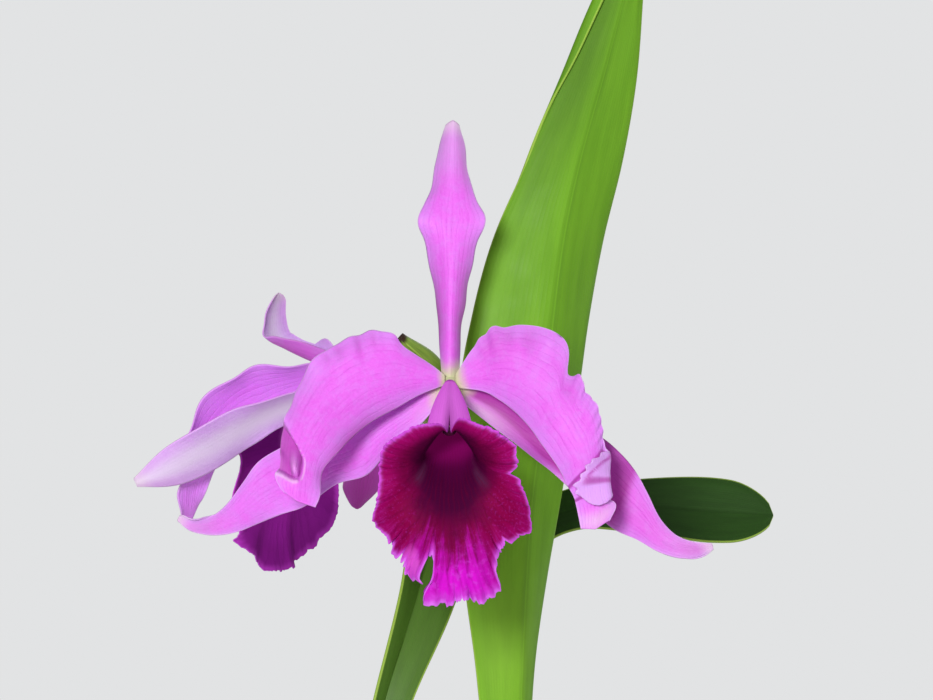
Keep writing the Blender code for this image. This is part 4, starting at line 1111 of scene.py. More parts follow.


# The bloom's organs, each in the bloom's own frame: its centre at the origin, facing -Y, +Z up.
# Left and right margins are seen from the front with the organ's tip up.

# In these reliefs, a Swell's or Crease's shade value is painted shade: shadows that petals cast on sepals,
# shade in folds and hollows, and the rear bloom's far petal darkened as if in shade. Below 0 it paints light.
FRONT_SEPALS = {
    "dorsal_sepal": Organ(
        left=[
            (-2.6, 2.4, 2), (-3.3, 6.6, 12), (-3.5, 9.2, 20), (-4.6, 11, 27), (-5.6, 11.6, 33.6),
            (-6.8, 10.6, 40), (-8.4, 9, 46.4), (-10.4, 7.4, 52.6), (-8.4, 9.6, 58.4), (-5.9, 13.6, 64.6),
            (-4.6, 15.8, 72), (-3.5, 16.6, 78.4), (-1.4, 16.2, 84.6),
        ],
        middle=[
            (0, 1.2, 1.6), (0, 2.2, 12), (0, 2.4, 20), (0.2, 2.8, 27), (0.3, 3.4, 33.6), (0.5, 4.2, 40),
            (0.7, 5, 46.4), (0.8, 6, 52.6), (0.8, 7.6, 58.8), (0.7, 9.4, 65.4), (0.7, 11.2, 72),
            (0.7, 13, 78.8), (0.9, 15.4, 86),
        ],
        right=[
            (2.6, 2.4, 2), (3.3, 6.6, 12), (3.5, 9.2, 20), (4.9, 11, 27), (5.9, 11.6, 33.6),
            (7.2, 10.6, 40), (9, 9, 46.4), (11.4, 7.4, 53.4), (8.6, 9.6, 59.6), (6.4, 13.6, 65.6),
            (5.4, 15.8, 72), (4.4, 16.6, 78.4), (2.8, 16.2, 84.6),
        ],
        keel=1.8,
        frills=[Frill(1, 0.35, 5.5, 0.2, 4), Frill(-1, 0.35, 4.5, 0.6, 4)],
        relief=[Swell(0.18, 1, 0.13, 0.3, 0, 0.5), Swell(0.18, -1, 0.13, 0.3, 0, 0.75)],
        cells=(130, 36),
    ),
    "left_sepal": Organ(
        right=[
            (-2.2, 1.6, 0.2), (-14.5, 4, -2), (-25.8, 5, -8), (-37, 5, -12.9), (-46.6, 4, -17),
            (-54.6, 3, -20.4), (-61.5, 1, -25), (-66.2, -1, -31.2), (-70.4, -3.6, -37.4),
            (-75.3, -7.4, -41.6), (-80.4, -10.4, -43.2), (-85.4, -12, -41.4),
        ],
        middle=[
            (-2.2, 2, -2.2), (-12, 3, -7.4), (-22.2, 3, -14), (-31.8, 3, -20.8), (-41.6, 2.2, -24.6),
            (-50.4, 1, -29.6), (-57.8, -0.8, -33.2), (-64, -2.8, -38), (-69.2, -5, -42.3), (-75.6, -8, -45.2),
            (-81, -11, -44.8), (-85.8, -12.4, -42.2),
        ],
        left=[
            (-2, 1.6, -4), (-9.6, 3, -12.8), (-18.6, 4, -19.9), (-26.4, 4, -28.9), (-36.6, 3, -32),
            (-46.2, 1.6, -38.6), (-54.1, -0.4, -41.4), (-61.9, -2.6, -44.6), (-68.5, -5, -46.8),
            (-75.5, -8, -47.4), (-81.6, -11, -46), (-85.6, -12.6, -42.8),
        ],
        frills=[Frill(-1, 0.9, 2.5, 0.2), Frill(1, 0.4, 4.2, 0.1)],
        flaps=[Flap("right", [(0, 0), (0.78, 0), (0.88, 1.5), (0.96, 1.8), (1, 0.4)], 120, 0.7)],
        relief=[Swell(0.05, -0.5, 0.06, 0.6, 0, 0, 0.3)],
    ),
    "right_sepal": Organ(
        left=[
            (2.2, 1.6, 0.4), (12.9, 4, -0.2), (23.5, 5, -3.4), (32.5, 5, -8.3), (41.2, 4, -13.1),
            (48.8, 3, -17), (55.1, 1, -22.4), (59.5, 0, -27.8), (63.2, -2, -34.8), (66.9, -4, -42.4),
            (71.5, -6, -47.3), (76.7, -8, -49.4), (82.9, -9, -50),
        ],
        middle=[
            (2.2, 2, -2.4), (10.4, 3, -5.2), (18.4, 3, -9.2), (26.2, 3, -15.2), (33.4, 2.2, -20.4),
            (41.2, 1.4, -25), (49.2, -0.2, -31.4), (55.8, -1.6, -37.4), (61.6, -3.2, -42.6),
            (66.8, -5, -48.2), (72.4, -6.8, -51.4), (77.8, -8.4, -52), (83.2, -9.4, -50.6),
        ],
        right=[
            (2, 1.6, -4), (8, 3, -8.7), (14.5, 4, -13.8), (20.9, 4, -18.8), (26.9, 3, -23.6),
            (34, 2, -28.9), (43.3, 0.4, -37.6), (51.8, -1.4, -45.6), (59.6, -3.4, -49.2), (66.2, -5, -52.7),
            (73.1, -7, -54.6), (78.6, -8.6, -54), (83.2, -9.6, -51.4),
        ],
        frills=[Frill(1, 0.7, 2.5, 0.1), Frill(-1, 0.4, 4, 0.5)],
        flaps=[Flap("right", [(0, 0), (0.84, 0), (0.93, 1.1), (1, 0.5)], 110, 0.6)],
        relief=[
            Swell(0.10, 0.7, 0.11, 0.5, 0, 0, 0.6),
            Swell(0.22, 0.2, 0.18, 1, 0, 0.6),
            Swell(0.37, 0.3, 0.08, 0.8, 0, 0.3),
            Swell(0.62, 0, 0.22, 1.5, 0, 0.24),
            Swell(0.93, 0, 0.08, 1, 0, 0.3),
            Crease(
                [(0.01, 0.1), (0.1, 0.3), (0.2, 0.5), (0.3, 0.7), (0.42, 1), (0.6, 1.2)], 0, -0.35, 0.72
            ),
        ],
    ),
}
FRONT_PETALS = {
    "left_petal": Organ(
        right=[
            (-1.6, -0.5, 3), (-11.2, -1.4, 10.6), (-19.8, -2.6, 16.4), (-31.8, -4.4, 15.3),
            (-42.8, -7, 7.9), (-48.8, -10.6, -1.8), (-51.6, -15, -10.9), (-53, -19, -17.2),
            (-52.8, -23, -23.6), (-52.6, -26, -32),
        ],
        middle=[
            (-1.6, -0.8, 1.4), (-10.4, -3.4, 4), (-18.8, -6.6, 5), (-28.4, -10, 1.6), (-37, -13.6, -4.8),
            (-42, -17, -11.6), (-45.2, -20.2, -18.8), (-46.8, -23, -25), (-47, -25.4, -30.4),
            (-47.2, -27.4, -35.6),
        ],
        left=[
            (-1.2, -0.5, 0.2), (-10.2, -2.2, -3.4), (-17.5, -5, -8), (-24.7, -8, -13.3), (-30.6, -12, -18.9),
            (-34.5, -16, -23.5), (-37.2, -19.6, -27.6), (-39.2, -22.8, -31), (-40.6, -25.6, -34.2),
            (-41.4, -28, -37.4),
        ],
        trim_right=[
            (0, 0), (0.07, 0), (0.11, -0.8), (0.15, -1.7), (0.178, -1.4), (0.196, -0.1), (0.215, 0.1),
            (0.25, 0.4), (0.28, 1), (0.31, 0.4), (0.34, 0), (0.85, 0), (0.915, 0.2), (0.94, 1.3),
            (0.96, 2.1), (0.98, 1.2), (1, -1.4),
        ],
        trim_left=[
            (0, 0), (0.22, -0.5), (0.33, -1.3), (0.44, -2.1), (0.555, -2.5), (0.667, -2.7), (0.78, -0.9),
            (0.89, 0.4), (1, 0),
        ],
        frills=[
            Frill(1, 0.4, 9.5, 0.1), Frill(1, 0.8, 4.2, 0.5, 2.4), Frill(-1, 0.7, 2.5),
            Frill(1, 0.6, 15, 0.3, 1.8, 0.22, 0.36),
        ],
        relief=[
            Crease(
                [
                    (0.672, 1.05), (0.684, 0.72), (0.695, 0.4), (0.705, 0.08), (0.72, -0.15), (0.778, -0.23),
                    (0.83, -0.18), (0.87, -0.08), (0.99, -0.05),
                ],
                -3.6, 0.17, 0.7,
                stop=[
                    (-1, 0.86), (-0.05, 0.87), (0.25, 0.905), (0.5, 0.925), (0.75, 0.935), (1, 0.95),
                    (1.3, 0.965),
                ],
            ),
            Swell(0.815, 0.2, 0.055, 0.17, 4.6, -1, 0.3),
            Swell(0.48, -1, 0.26, 0.16, 0, 0.55),
            Swell(0.45, 0.55, 0.10, 0.5, -0.8),
            Swell(0.36, 0.62, 0.04, 0.25, 0.8, -0.1),
            Swell(0.27, 0.80, 0.010, 0.22, -0.6, 0.24),
            Swell(0.315, 0.74, 0.010, 0.24, -0.6, 0.24),
            Swell(0.375, 0.85, 0.010, 0.20, -0.6, 0.20),
            Swell(0.41, 0.85, 0.010, 0.16, -0.5, 0.16),
        ],
        cells=(160, 64),
    ),
    "right_petal": Organ(
        left=[
            (1.8, -0.5, 3.2), (7.8, -1.4, 11.4), (13.6, -2.4, 18.2), (25.2, -4, 18.4), (35.8, -6.6, 14.1),
            (39.2, -9.4, 5), (42.6, -11.6, -0.8), (46.8, -13.6, -9.1), (48.4, -15.6, -17.2),
            (48.4, -17.4, -27), (48.8, -19.6, -35), (48.6, -22, -42.6),
        ],
        middle=[
            (1.8, -0.8, 1.2), (10.6, -3.2, 5), (16.4, -6, 7.2), (24.4, -9, 5.4), (31.4, -11.6, 0.8),
            (34.6, -13.8, -5.6), (38.4, -15.6, -11.6), (42, -17.2, -17.8), (43.8, -18.8, -23.8),
            (44.8, -20, -30), (46.4, -21.4, -37), (45.4, -22.8, -44.6),
        ],
        right=[
            (1.8, -0.5, -0.8), (10.5, -2, -1.9), (15.9, -4.8, -4.8), (21.2, -7.6, -9.2), (25.9, -10.4, -13.9),
            (29.3, -12.8, -18.6), (32.4, -15, -23.3), (34.8, -17, -27.3), (36.6, -18.8, -31),
            (38.7, -20, -34.6), (39.8, -21.4, -38.8), (40.8, -22.8, -44.4),
        ],
        trim_left=[
            (0, 0), (0.12, 0.6), (0.155, 0), (0.19, 0.5), (0.215, -0.5), (0.25, 0.2), (0.37, 0.7),
            (0.405, 0.1), (0.432, -3.4), (0.455, -2), (0.485, 0.9), (0.515, 0.6), (0.545, -0.7),
            (0.60, 0.2), (0.7, 0), (0.75, -1.2), (0.89, -1.2), (0.92, 0.2), (0.945, 3.2), (0.97, 4),
            (1, 1.2),
        ],
        frills=[
            Frill(-1, 0.8, 3.6, 0.1, 2.4), Frill(1, 0.6, 2.5, 0.1), Frill(-1, 0.9, 17, 0.2, 1.5, 0.1, 0.2),
            Frill(-1, 0.5, 11, 0.5, 4, 0.4, 0.68), Frill(-1, 0.5, 26, 0.3, 1.6, 0.5, 0.74),
        ],
        flaps=[
            Flap(
                "left",
                [
                    (0, 0), (0.69, 0), (0.735, 1.2), (0.75, 4), (0.762, 8.2), (0.772, 9.4), (0.784, 12.9),
                    (0.797, 13.2), (0.808, 15.2), (0.82, 13.8), (0.832, 15.4), (0.844, 14.6), (0.856, 16.9),
                    (0.867, 15), (0.878, 15.8), (0.89, 13.9), (0.909, 9.6), (0.922, 4), (0.935, 0.3),
                    (1, 0.2),
                ],
                200, 1.5,
            ),
        ],
        relief=[
            Crease(
                [(0.735, -1.1), (0.755, -1.5), (0.79, -2.5), (0.83, -3.4), (0.86, -4)], 1.6, 0.45, 0.8,
                thin=True,
            ),
            Swell(0.36, -0.6, 0.07, 0.4, -1),
            Swell(0.47, -0.62, 0.05, 0.3, -0.9, 0.15),
            Swell(0.17, -0.6, 0.06, 0.5, 0, 0.25),
            Swell(0.275, -0.75, 0.020, 0.35, -1.3, 0.22),
            Swell(0.33, -0.8, 0.02, 0.3, 1.1),
            Swell(0.225, -0.8, 0.014, 0.25, -0.8, 0.15),
            Swell(0.97, 0, 0.04, 1, 0, 0, 0.6),
        ],
        cells=(190, 60),
    ),
}
FACING_AHEAD = [(0, -1, 0), (0, -1, 0)]
REAR_SEPALS = {
    "dorsal_sepal": Blade(
        spine=[
            (0, 2, 3.6), (0, -9, 4.8), (1, -21, 8.2), (1.5, -32, 12.6), (2, -38.5, 16.4), (2, -39.5, 24),
            (2, -36.5, 32.3),
        ],
        facing=[
            (0, -1, 0), (0, -0.6, -0.8), (0, -0.4, -0.9), (0, -0.6, -0.7), (0, -0.9, -0.4), (0, -1, 0),
            (0, -1, 0),
        ],
        right=[3.2, 7.5, 9.5, 10, 8, 6, 3.2],
        left=[3.2, 5.5, 7, 7, 8, 6, 3.2],
        curl=[-30, -112, -100, -60, -30, -30, -30],
        round_tip=0.05,
        relief=[Swell(0.36, 0.9, 0.2, 0.9, 0, 0.45)],
        flaps=[
            Flap(
                "left", [(0, 0), (0.24, 0), (0.28, 2.6), (0.33, 3.6), (0.38, 2.4), (0.41, 0), (1, 0)], 20, 3
            ),
        ],
        frills=[Frill(1, 0.4, 4.5, 0.2), Frill(-1, 0.4, 3.5, 0.6)],
        cells=(90, 32),
    ),
    "left_sepal": Blade(
        spine=[
            (-3, 2.4, -2), (-15, 1, -6), (-28, -3, -11), (-40, -8, -16), (-52, -15, -21), (-63, -24, -26),
            (-70, -32, -29),
        ],
        facing=FACING_AHEAD,
        right=[2.4, 8, 12, 12, 9.5, 6, 0.9],
        left=[2.4, 8, 12, 12, 9.5, 6, 0.9],
        curl=[0, -15, -20, -15, 0, 10, 10],
        frills=[Frill(1, 0.5, 4, 0.3), Frill(-1, 0.6, 3, 0.1)],
        cells=(80, 28),
    ),
    "right_sepal": Blade(
        spine=[
            (3.4, 2, -1.8), (15, 1, -3.2), (28, -3, -5.6), (41, -9, -9.5), (54, -18, -17.3), (66, -29, -26),
            (75, -38, -31.7),
        ],
        facing=[
            (0, -1, 0), (0, -1, 0.6), (0, -1, 0.8), (0, -1, 0.7), (0, -1, 0.5), (0, -1, 0.2), (0, -1, 0),
        ],
        right=[2.4, 5, 6.6, 8, 12, 9, 1.6],
        left=[2.4, 5.2, 7.8, 10, 11, 7.6, 1.6],
        curl=[0, -15, -20, -15, 0, 10, 10],
        frills=[Frill(1, 0.6, 3, 0.3), Frill(-1, 0.5, 3.5, 0.1)],
        cells=(90, 32),
    ),
}
REAR_PETALS = {
    "left_petal": Blade(
        spine=[
            (-3.2, -0.6, 1.6), (-12, -6, 4), (-22, -13, 2), (-30, -20, -5), (-36, -26, -15),
            (-39.5, -30, -26), (-41, -33, -37), (-40, -34, -46),
        ],
        facing=[
            (0, -1, 0), (0, -0.9, 0.35), (-0.2, -0.85, 0.45), (-0.35, -0.85, 0.3), (-0.2, -0.95, 0.1),
            (0, -1, 0),
        ],
        right=[2.2, 8, 12, 14, 13, 11, 9.5, 5],
        left=[2.2, 8, 12, 14, 13, 11, 9.5, 7],
        curl=[0, -15, -25, -25, -25, -15, 0],
        round_tip=0.14,
        # painted shade: this far petal is darkened all over as if it lay in shade
        relief=[Swell(0.95, 0, 0.9, 2.5, 0, 1)],
        frills=[Frill(1, 1.4, 4, 0.4), Frill(-1, 0.8, 3.5, 0)],
        cells=(100, 40),
    ),
    "right_petal": Blade(
        spine=[
            (3.2, -0.6, 1.6), (12, -5, 2.5), (23, -12, 0), (33, -19.5, -4.8), (42, -25.5, -11.5),
            (47.5, -31, -21), (49.5, -34.5, -31), (49.5, -36.5, -39.6), (47, -39.5, -47),
        ],
        facing=[
            (0, -1, 0), (0, -0.85, 0.4), (-0.1, -0.9, 0.15), (-0.15, -0.9, -0.05), (-0.15, -0.9, -0.1),
            (0, -0.95, 0), (-0.1, -1, 0),
        ],
        right=[2.2, 5.5, 7.5, 8.5, 8, 7, 6.5, 5.5, 2.5],
        left=[2.2, 5.5, 10, 14, 14, 11.5, 8.5, 6, 2],
        round_tip=0.08,
        curl=[0, -15, -25, -25, -25, -15, 0],
        frills=[Frill(-1, 1.1, 6.2, 0.15), Frill(1, 0.8, 3.5, 0)],
        cells=(110, 44),
    ),
}


# The lip. Angles run round its tube, from 0 at the floor to the seam on top, minus to the left.


@dataclass
class Lip:
    """A lip: by angle, how far its margin reaches and how it sweeps; its teeth; its ruffles and finer crisps,
    each (height, count, phase); hooks (angle, width, shift) that push its margin sideways; its grid."""

    reach: list
    sweep: list
    teeth: float
    ruffles: list
    crisps: list
    hooks: list
    cells: tuple


LIP_BASE = np.array((0, -1.6, 0.2))
LIP_THROAT = np.array((0, -29, -19))
LIP_RADII = (1.5, 8.3)
LIP_TUBE_SWELL = 0.6
LIP_SEAM = 175.0
LIP_TUBE_SHARE = 0.4
FRONT_LIP_REACH = [
    (-175, 1.6), (-171, 3.6), (-165, 6.2), (-156, 9.6), (-146, 12.4), (-135, 14.6), (-126, 16.6),
    (-118, 18), (-107, 19.6), (-93, 19), (-84, 19), (-77, 18.8), (-70, 19.4), (-62, 22.2), (-55, 26),
    (-49, 29.2), (-43, 29.4), (-39, 29.2), (-36, 31), (-33.8, 33), (-32.4, 33.8), (-31.3, 31.2),
    (-30.2, 30.4), (-29, 34), (-28, 33.2), (-27, 36), (-25.9, 35.2), (-24.8, 38.2), (-23.7, 37),
    (-22.6, 39.4), (-21.5, 38), (-20.5, 39.2), (-19.4, 36.4), (-18.6, 33.2), (-17.4, 30.2), (-15.8, 28.8),
    (-13.2, 28.8), (-11.4, 30.4), (-10.3, 36), (-8.8, 41.4), (-7.4, 43.4), (-4, 43.4), (0, 45), (9, 44.2),
    (18, 44.2), (22, 43.4), (25, 40.6), (29, 33.6), (34, 30.4), (39, 28.6), (44, 29.2), (49, 30.8),
    (56, 28.4), (62, 25.4), (68, 22.2), (74, 19.6), (78.5, 18.4), (81.5, 15.6), (85, 16.4), (92, 18),
    (100, 18.6), (107, 19.8), (114, 18.8), (122, 17.8), (132, 16.8), (144, 15), (155, 12.8), (162, 10.6),
    (168, 7.4), (172, 4), (175, 1.6),
]
FRONT_LIP_SWEEP = [
    (-175, 1.8), (-156, 10), (-135, 15), (-107, 19.8), (-84, 19.2), (-62, 22.8), (-45, 29.6), (-25, 38),
    (-9, 43.8), (9, 44.6), (25, 40), (42, 31), (62, 25.4), (84, 19), (107, 19.8), (135, 16.6), (156, 12.8),
    (175, 1.8),
]
REAR_LIP_REACH = [
    (-175, 1.4), (-171, 2), (-139, 11), (-110, 18), (-75, 21), (-50, 29), (-25, 37), (0, 42), (18, 44),
    (32, 41), (46, 38), (65, 31), (89, 25), (114, 21), (144, 13), (171, 3), (175, 1.4),
]
LIP_FLARE_START = 12.0
LIP_FLARE_END = [
    (-175, 95), (-171, 95), (-120, 110), (-60, 104), (-25, 78), (0, 68), (25, 78), (60, 104), (120, 110),
    (171, 95), (175, 95),
]
LIP_SECTION = [
    (0, 1), (45, 1.04), (68, 1.02), (90, 0.84), (112, 0.74), (135, 0.75), (152, 0.84), (161, 0.91),
    (168, 0.93), (175, 0.76),
]
LIP_TEETH = ((0.05, 0.22), (0.04, 0.55), (0.025, 1.1))
LIP_SIDE_TEETH = 0.45
LIP_LOBE_EDGE, LIP_LOBE_FADE = 62, 24
LIP_HOOK_START, LIP_HOOK_FADE = 34, 5
FRONT_LIP = Lip(
    reach=FRONT_LIP_REACH,
    sweep=FRONT_LIP_SWEEP,
    teeth=1,
    ruffles=[(1.3, 7, 0.4), (0.6, 13, 1.1)],
    crisps=[(0.9, 31, 0.3), (0.65, 53, 1.9), (0.4, 97, 0.7)],
    hooks=[(-20, 3.4, 3.6), (-8, 2.6, -3)],
    cells=(88, 540),
)
REAR_LIP = Lip(
    reach=REAR_LIP_REACH,
    sweep=REAR_LIP_REACH,
    teeth=0.45,
    ruffles=[(2.6, 5, 0.4), (1.7, 9, 1.1)],
    crisps=[(0.7, 19, 0.3)],
    hooks=[(42, 6, 4)],
    cells=(70, 360),
)

# The column and its anther cap, in the bloom's frame

COLUMN_ROUTE = [(0, -1.4, -0.9), (0, -9, -5.2), (0, -18, -9.2), (0, -27.4, -12.9)]
COLUMN_RADII = [1, 1.8, 2.8, 2.7]
ANTHER_SIZE = (2.2, 1.5, 1.8)


def waves(kinds, angle, drift=0.0):
    """The sum of several kinds of waves round the lip's tube, each (height, count, phase)."""
    return sum(height * np.sin(count * angle + phase + drift) for height, count, phase in kinds)


def lip_sheet(lip, seed):
    """The lip from its foot to its margin: a tube, then a smooth flare that is cut to the margin's reach."""
    rows, columns = lip.cells
    tube_rows = rows // 5
    flare_steps = 1 - (1 - np.linspace(0, 1, rows - tube_rows + 1)[1:]) ** 1.4
    s = np.concatenate([
        np.linspace(0, LIP_TUBE_SHARE, tube_rows), LIP_TUBE_SHARE + (1 - LIP_TUBE_SHARE) * flare_steps,
    ])[:, None]
    even = np.linspace(-1, 1, columns)
    v = (0.7 * even + 0.3 * even**3)[None, :]
    angle = v * LIP_SEAM
    tube = np.clip(s / LIP_TUBE_SHARE, 0, 1)
    flare = np.clip((s - LIP_TUBE_SHARE) / (1 - LIP_TUBE_SHARE), 0, 1)
    smooth = through(lip.sweep, angle)
    closed = 1 + (180.0 / LIP_SEAM - 1) * np.clip((1 - tube) * 2.6, 0, 1)
    round_tube = np.radians(angle * closed)
    ahead = unit(LIP_THROAT - LIP_BASE)
    floor = np.array((0, -ahead[2], ahead[1]))
    floor = -floor if floor[2] > 0 else floor
    out = np.array((1, 0, 0)) * np.sin(round_tube)[..., None] + floor * np.cos(round_tube)[..., None]
    low, high = LIP_RADII
    front_share = np.clip((LIP_LOBE_EDGE - np.abs(angle[0])) / LIP_LOBE_FADE, 0, 1)
    lobed = LIP_SIDE_TEETH + (1 - LIP_SIDE_TEETH) * front_share
    jagged = sum(share * ripple(angle[0], seed + n, scale) for n, (share, scale) in enumerate(LIP_TEETH))
    uneven = 1 + lip.teeth * lobed * jagged
    reach = through(lip.reach, angle) * uneven[None, :]
    start = math.radians(LIP_FLARE_START)
    turn = np.radians(through(LIP_FLARE_END, angle)) - start
    lean = start + turn * flare * reach / smooth
    forward = smooth / turn * (np.sin(lean) - math.sin(start))
    outward = smooth / turn * (math.cos(start) - np.cos(lean))
    centre = LIP_BASE + (LIP_THROAT - LIP_BASE) * tube[..., None]
    section = 1 + (through(LIP_SECTION, np.abs(angle)) - 1) * tube**3
    radius = (low + (high - low) * tube * (1 + LIP_TUBE_SWELL * (1 - tube))) * section + outward
    points = centre + out * radius[..., None] + ahead * forward[..., None]
    normal = out * np.cos(lean)[..., None] - ahead * np.sin(lean)[..., None]
    soft = np.minimum(1, reach / 20)
    ruffle = waves(lip.ruffles, round_tube) * flare**3
    crisp = waves(lip.crisps, round_tube, 2 * uneven)
    points = points + normal * ((ruffle + crisp * flare**6 * lobed**1.6) * soft)[..., None]
    for middle, width, shift in lip.hooks:
        far_out = np.clip((reach * flare - LIP_HOOK_START) / LIP_HOOK_FADE, 0, 1)
        share = np.exp(-(((angle - middle) / width) ** 2)) * far_out**2
        points = points + share[..., None] * np.array((shift, -0.6 * shift, 0.25 * shift))
    along, across = np.broadcast_to(s, (rows, columns)), np.broadcast_to(v, (rows, columns))
    margin = np.where(s >= LIP_TUBE_SHARE, reach * (1 - flare), 20.0)
    sheet = Sheet(points[:, ::-1], along, across[:, ::-1], margin[:, ::-1])
    sheet.reach = (reach * flare)[:, ::-1]
    return sheet


# Leaves, sheath and stalk, in the plant's frame

LEAVES = {
    "leaf_tall": Organ(
        right=[
            (20.6, -6.3, 273.6), (22.6, -3.6, 311), (24.6, 0, 337), (28.6, 2, 364), (33.4, 3, 391),
            (39.2, 5.6, 425), (43, 5.4, 452), (47.9, 4, 479), (54.4, 1.4, 506), (58.9, -2, 533),
            (60.9, -4.6, 560), (62.4, -7.6, 592),
        ],
        middle=[
            (19, -12.6, 273.6), (19, -13.5, 311), (19.7, -14.6, 337), (21, -15.6, 364), (22.9, -17, 391),
            (27.2, -18, 425), (30, -17.6, 452), (33.6, -16.4, 479), (39.4, -14.2, 506), (47, -12.2, 533),
            (54.2, -10.4, 560), (62.7, -8.2, 593),
        ],
        left=[
            (11.8, -10.7, 273.6), (7, -13.9, 311), (4.2, -15, 337), (0.7, -16, 364), (-0.6, -17, 391),
            (-1.2, -17.6, 425), (3.1, -17, 452), (10.5, -15.8, 479), (22.6, -14.6, 506), (34.7, -12.4, 533),
            (46.2, -10, 560), (62, -8, 592),
        ],
        keel=1.25,
        # painted shade darkens the upper left half and a narrow band on the left; painted light brightens the
        # lower part where the bloom shades it
        relief=[
            Swell(0.86, -0.7, 0.20, 0.7, 0, 0.75), Swell(0.19, -0.4, 0.09, 0.9, 0, 0, 0.2),
            Swell(0.33, -0.8, 0.03, 0.4, 0, 0.7),
        ],
        flaps=[Flap("left", [(0, 0), (0.68, 0), (0.76, 1.6), (0.86, 4.6), (0.95, 4.6), (1, 0.4)], 165, 1)],
        cells=(170, 48),
    ),
    "leaf_left": Blade(
        spine=[
            (-33, -13.4, 295), (-26.5, -12, 324), (-17.5, -1, 352), (-9.5, 17.5, 377), (5, 34, 402),
            (18, 50, 428), (29, 64, 456), (37, 76, 486), (43, 84, 516),
        ],
        facing=[
            (0.5, -0.85, 0.1), (0.5, -0.85, 0.2), (0.45, -0.8, 0.4), (0.3, -0.75, 0.6), (0.2, -0.7, 0.6),
            (0, -0.8, 0.6),
        ],
        right=[8, 9.5, 13, 15.5, 17.5, 17.5, 14.5, 9.5, 1.2],
        left=[8, 6.5, 9.5, 12.5, 16, 17.5, 14.5, 9.5, 1.2],
        fold=[0, 32, 30, 26, 22, 20, 20, 24, 30],
        curl=[100, 6, 0, -6, -8, -8, -6, -4, 0],
        frills=[Frill(1, 0.6, 3.5, 0.2, 2), Frill(-1, 0.5, 2.8, 0.5, 2)],
        cells=(120, 36),
    ),
    "leaf_rear": Blade(
        spine=[
            (8.5, 41, 282.6), (11, 43.5, 304), (13, 45.5, 328), (15.5, 47.5, 351), (22, 49, 373),
            (41, 50, 383.5), (65, 50, 384.4), (89, 51, 382.7), (112, 52, 381.3),
        ],
        facing=[
            (1, 0, 0), (0.9, -0.4, 0.2), (0.5, -0.8, 0.4), (0, -0.85, 0.5), (-0.1, -0.85, 0.5),
            (-0.1, -0.85, 0.5), (-0.1, -0.86, 0.5),
        ],
        right=[7.5, 7.5, 8, 8, 8, 8.5, 11, 13.2, 10.5],
        left=[7.5, 7.5, 8, 8, 8, 8.5, 11, 13.2, 10.5],
        round_tip=0.09,
        fold=[0, 30, 26, 20, 16, 12, 12, 12, 10],
        curl=[102, 8, 0, -6, -8, -8, -8, -8, 0],
        frills=[Frill(1, 0.4, 3.5, 0.2, 2), Frill(-1, 0.4, 2.8, 0.5, 2)],
        cells=(120, 36),
    ),
}
LEAF_THICKNESS = 1.8 * MM
LEAF_FOOT = 0.06
SHEATH = Blade(
    spine=[
        (18, -5.2, 274.2), (17, 2.7, 310), (13.5, 7, 350), (8, 7.5, 385), (1, 3.5, 415), (-7.4, -5, 437),
        (-20.4, -10, 446.6),
    ],
    facing=[
        (-0.7, -0.7, 0), (-0.75, -0.66, 0), (-0.75, -0.66, 0), (-0.7, -0.7, -0.1), (-0.6, -0.6, -0.5),
        (-0.2, -0.3, -1), (0, -0.1, -1),
    ],
    right=[7.5, 9, 10, 10, 8.5, 7.5, 3.4],
    left=[7.5, 9, 10, 10, 8.5, 7.5, 3.4],
    fold=[0, 0, 10, 20, 25, 25, 20],
    curl=[108, 110, 100, 90, 88, 88, 60],
    cells=(110, 36),
)
STALK_ROUTE = [(15.4, -8.4, 273.9), (13.2, -1.2, 310), (8.5, 2.5, 350), (3, 3.5, 384), (-2, -1, 404)]
FRONT_PEDICEL = [(-1, 0.5, 400), (-7, -8, 415), (-7, -22, 425), (-5, -39, 429.5), (-4, -55.1, 430)]
REAR_PEDICEL = [(0, 1, 394), (-5, 0, 408), (-14, 2.4, 420), (-24.5, 6.6, 427), (-33.84, 11.9, 429)]
STALK_RADII = [2.2, 2.2, 2.3, 2.5, 2.2]
PEDICEL_RADII = [1.9, 2.1, 2.4, 3, 2.9]

BULB_RADII = [5.4, 6.4, 8.6, 11.2, 13, 13.4, 12.4, 10.2, 7.6, 6.6]
BULB_RIDGES = 9
BULB_FURROW = 0.1
HUSKS = {"tall": (0.46, 200), "left": (0.40, 300), "rear": (0.36, 60)}
HUSK_WRAP = 158.0
BULB_JOINTS = [0.3, 0.62, 0.97]
RHIZOME_LEVEL = 113.0
RHIZOME_RADII = [6, 6, 6, 6, 6, 5, 2.5]
RHIZOME_RINGS = 22
STUB_RADII = [5.4, 5.3, 5]
ROOT_RADII = [2.2, 2.2, 2, 1.3]
RHIZOME_ROUTE = [
    (14, 52, 112), (10, 32, 113), (15, 12, 113), (14, -7, 113), (-3, -14, 113), (-20, -12, 113),
    (-36, -4, 116),
]
ROOT_ROUTES = [
    [(16, -8, 112), (28, -20, 117), (40, -27, 114), (46, -31, 100)],
    [(-22, -14, 112), (-25, -30, 117), (-35, -41, 115), (-38, -42, 99)],
    [(-20, -10, 112), (-36, -18, 117), (-50, -16, 113), (-54, -11, 98)],
    [(8, 34, 112), (-8, 38, 117), (-22, 42, 114), (-29, 43, 98)],
    [(12, 30, 112), (26, 32, 117), (38, 33, 114), (44, 32, 98)],
    [(14, -10, 112), (8, -28, 117), (10, -43, 115), (13, -51, 99)],
]


def stand(sheet, level):
    """Draws the foot of a leaf down or up to one level, where it stands on its stem."""
    share = np.clip(1 - sheet.along / LEAF_FOOT, 0, 1)
    sheet.points[..., 2] += (level - sheet.points[:1, :, 2]) * share
    return sheet


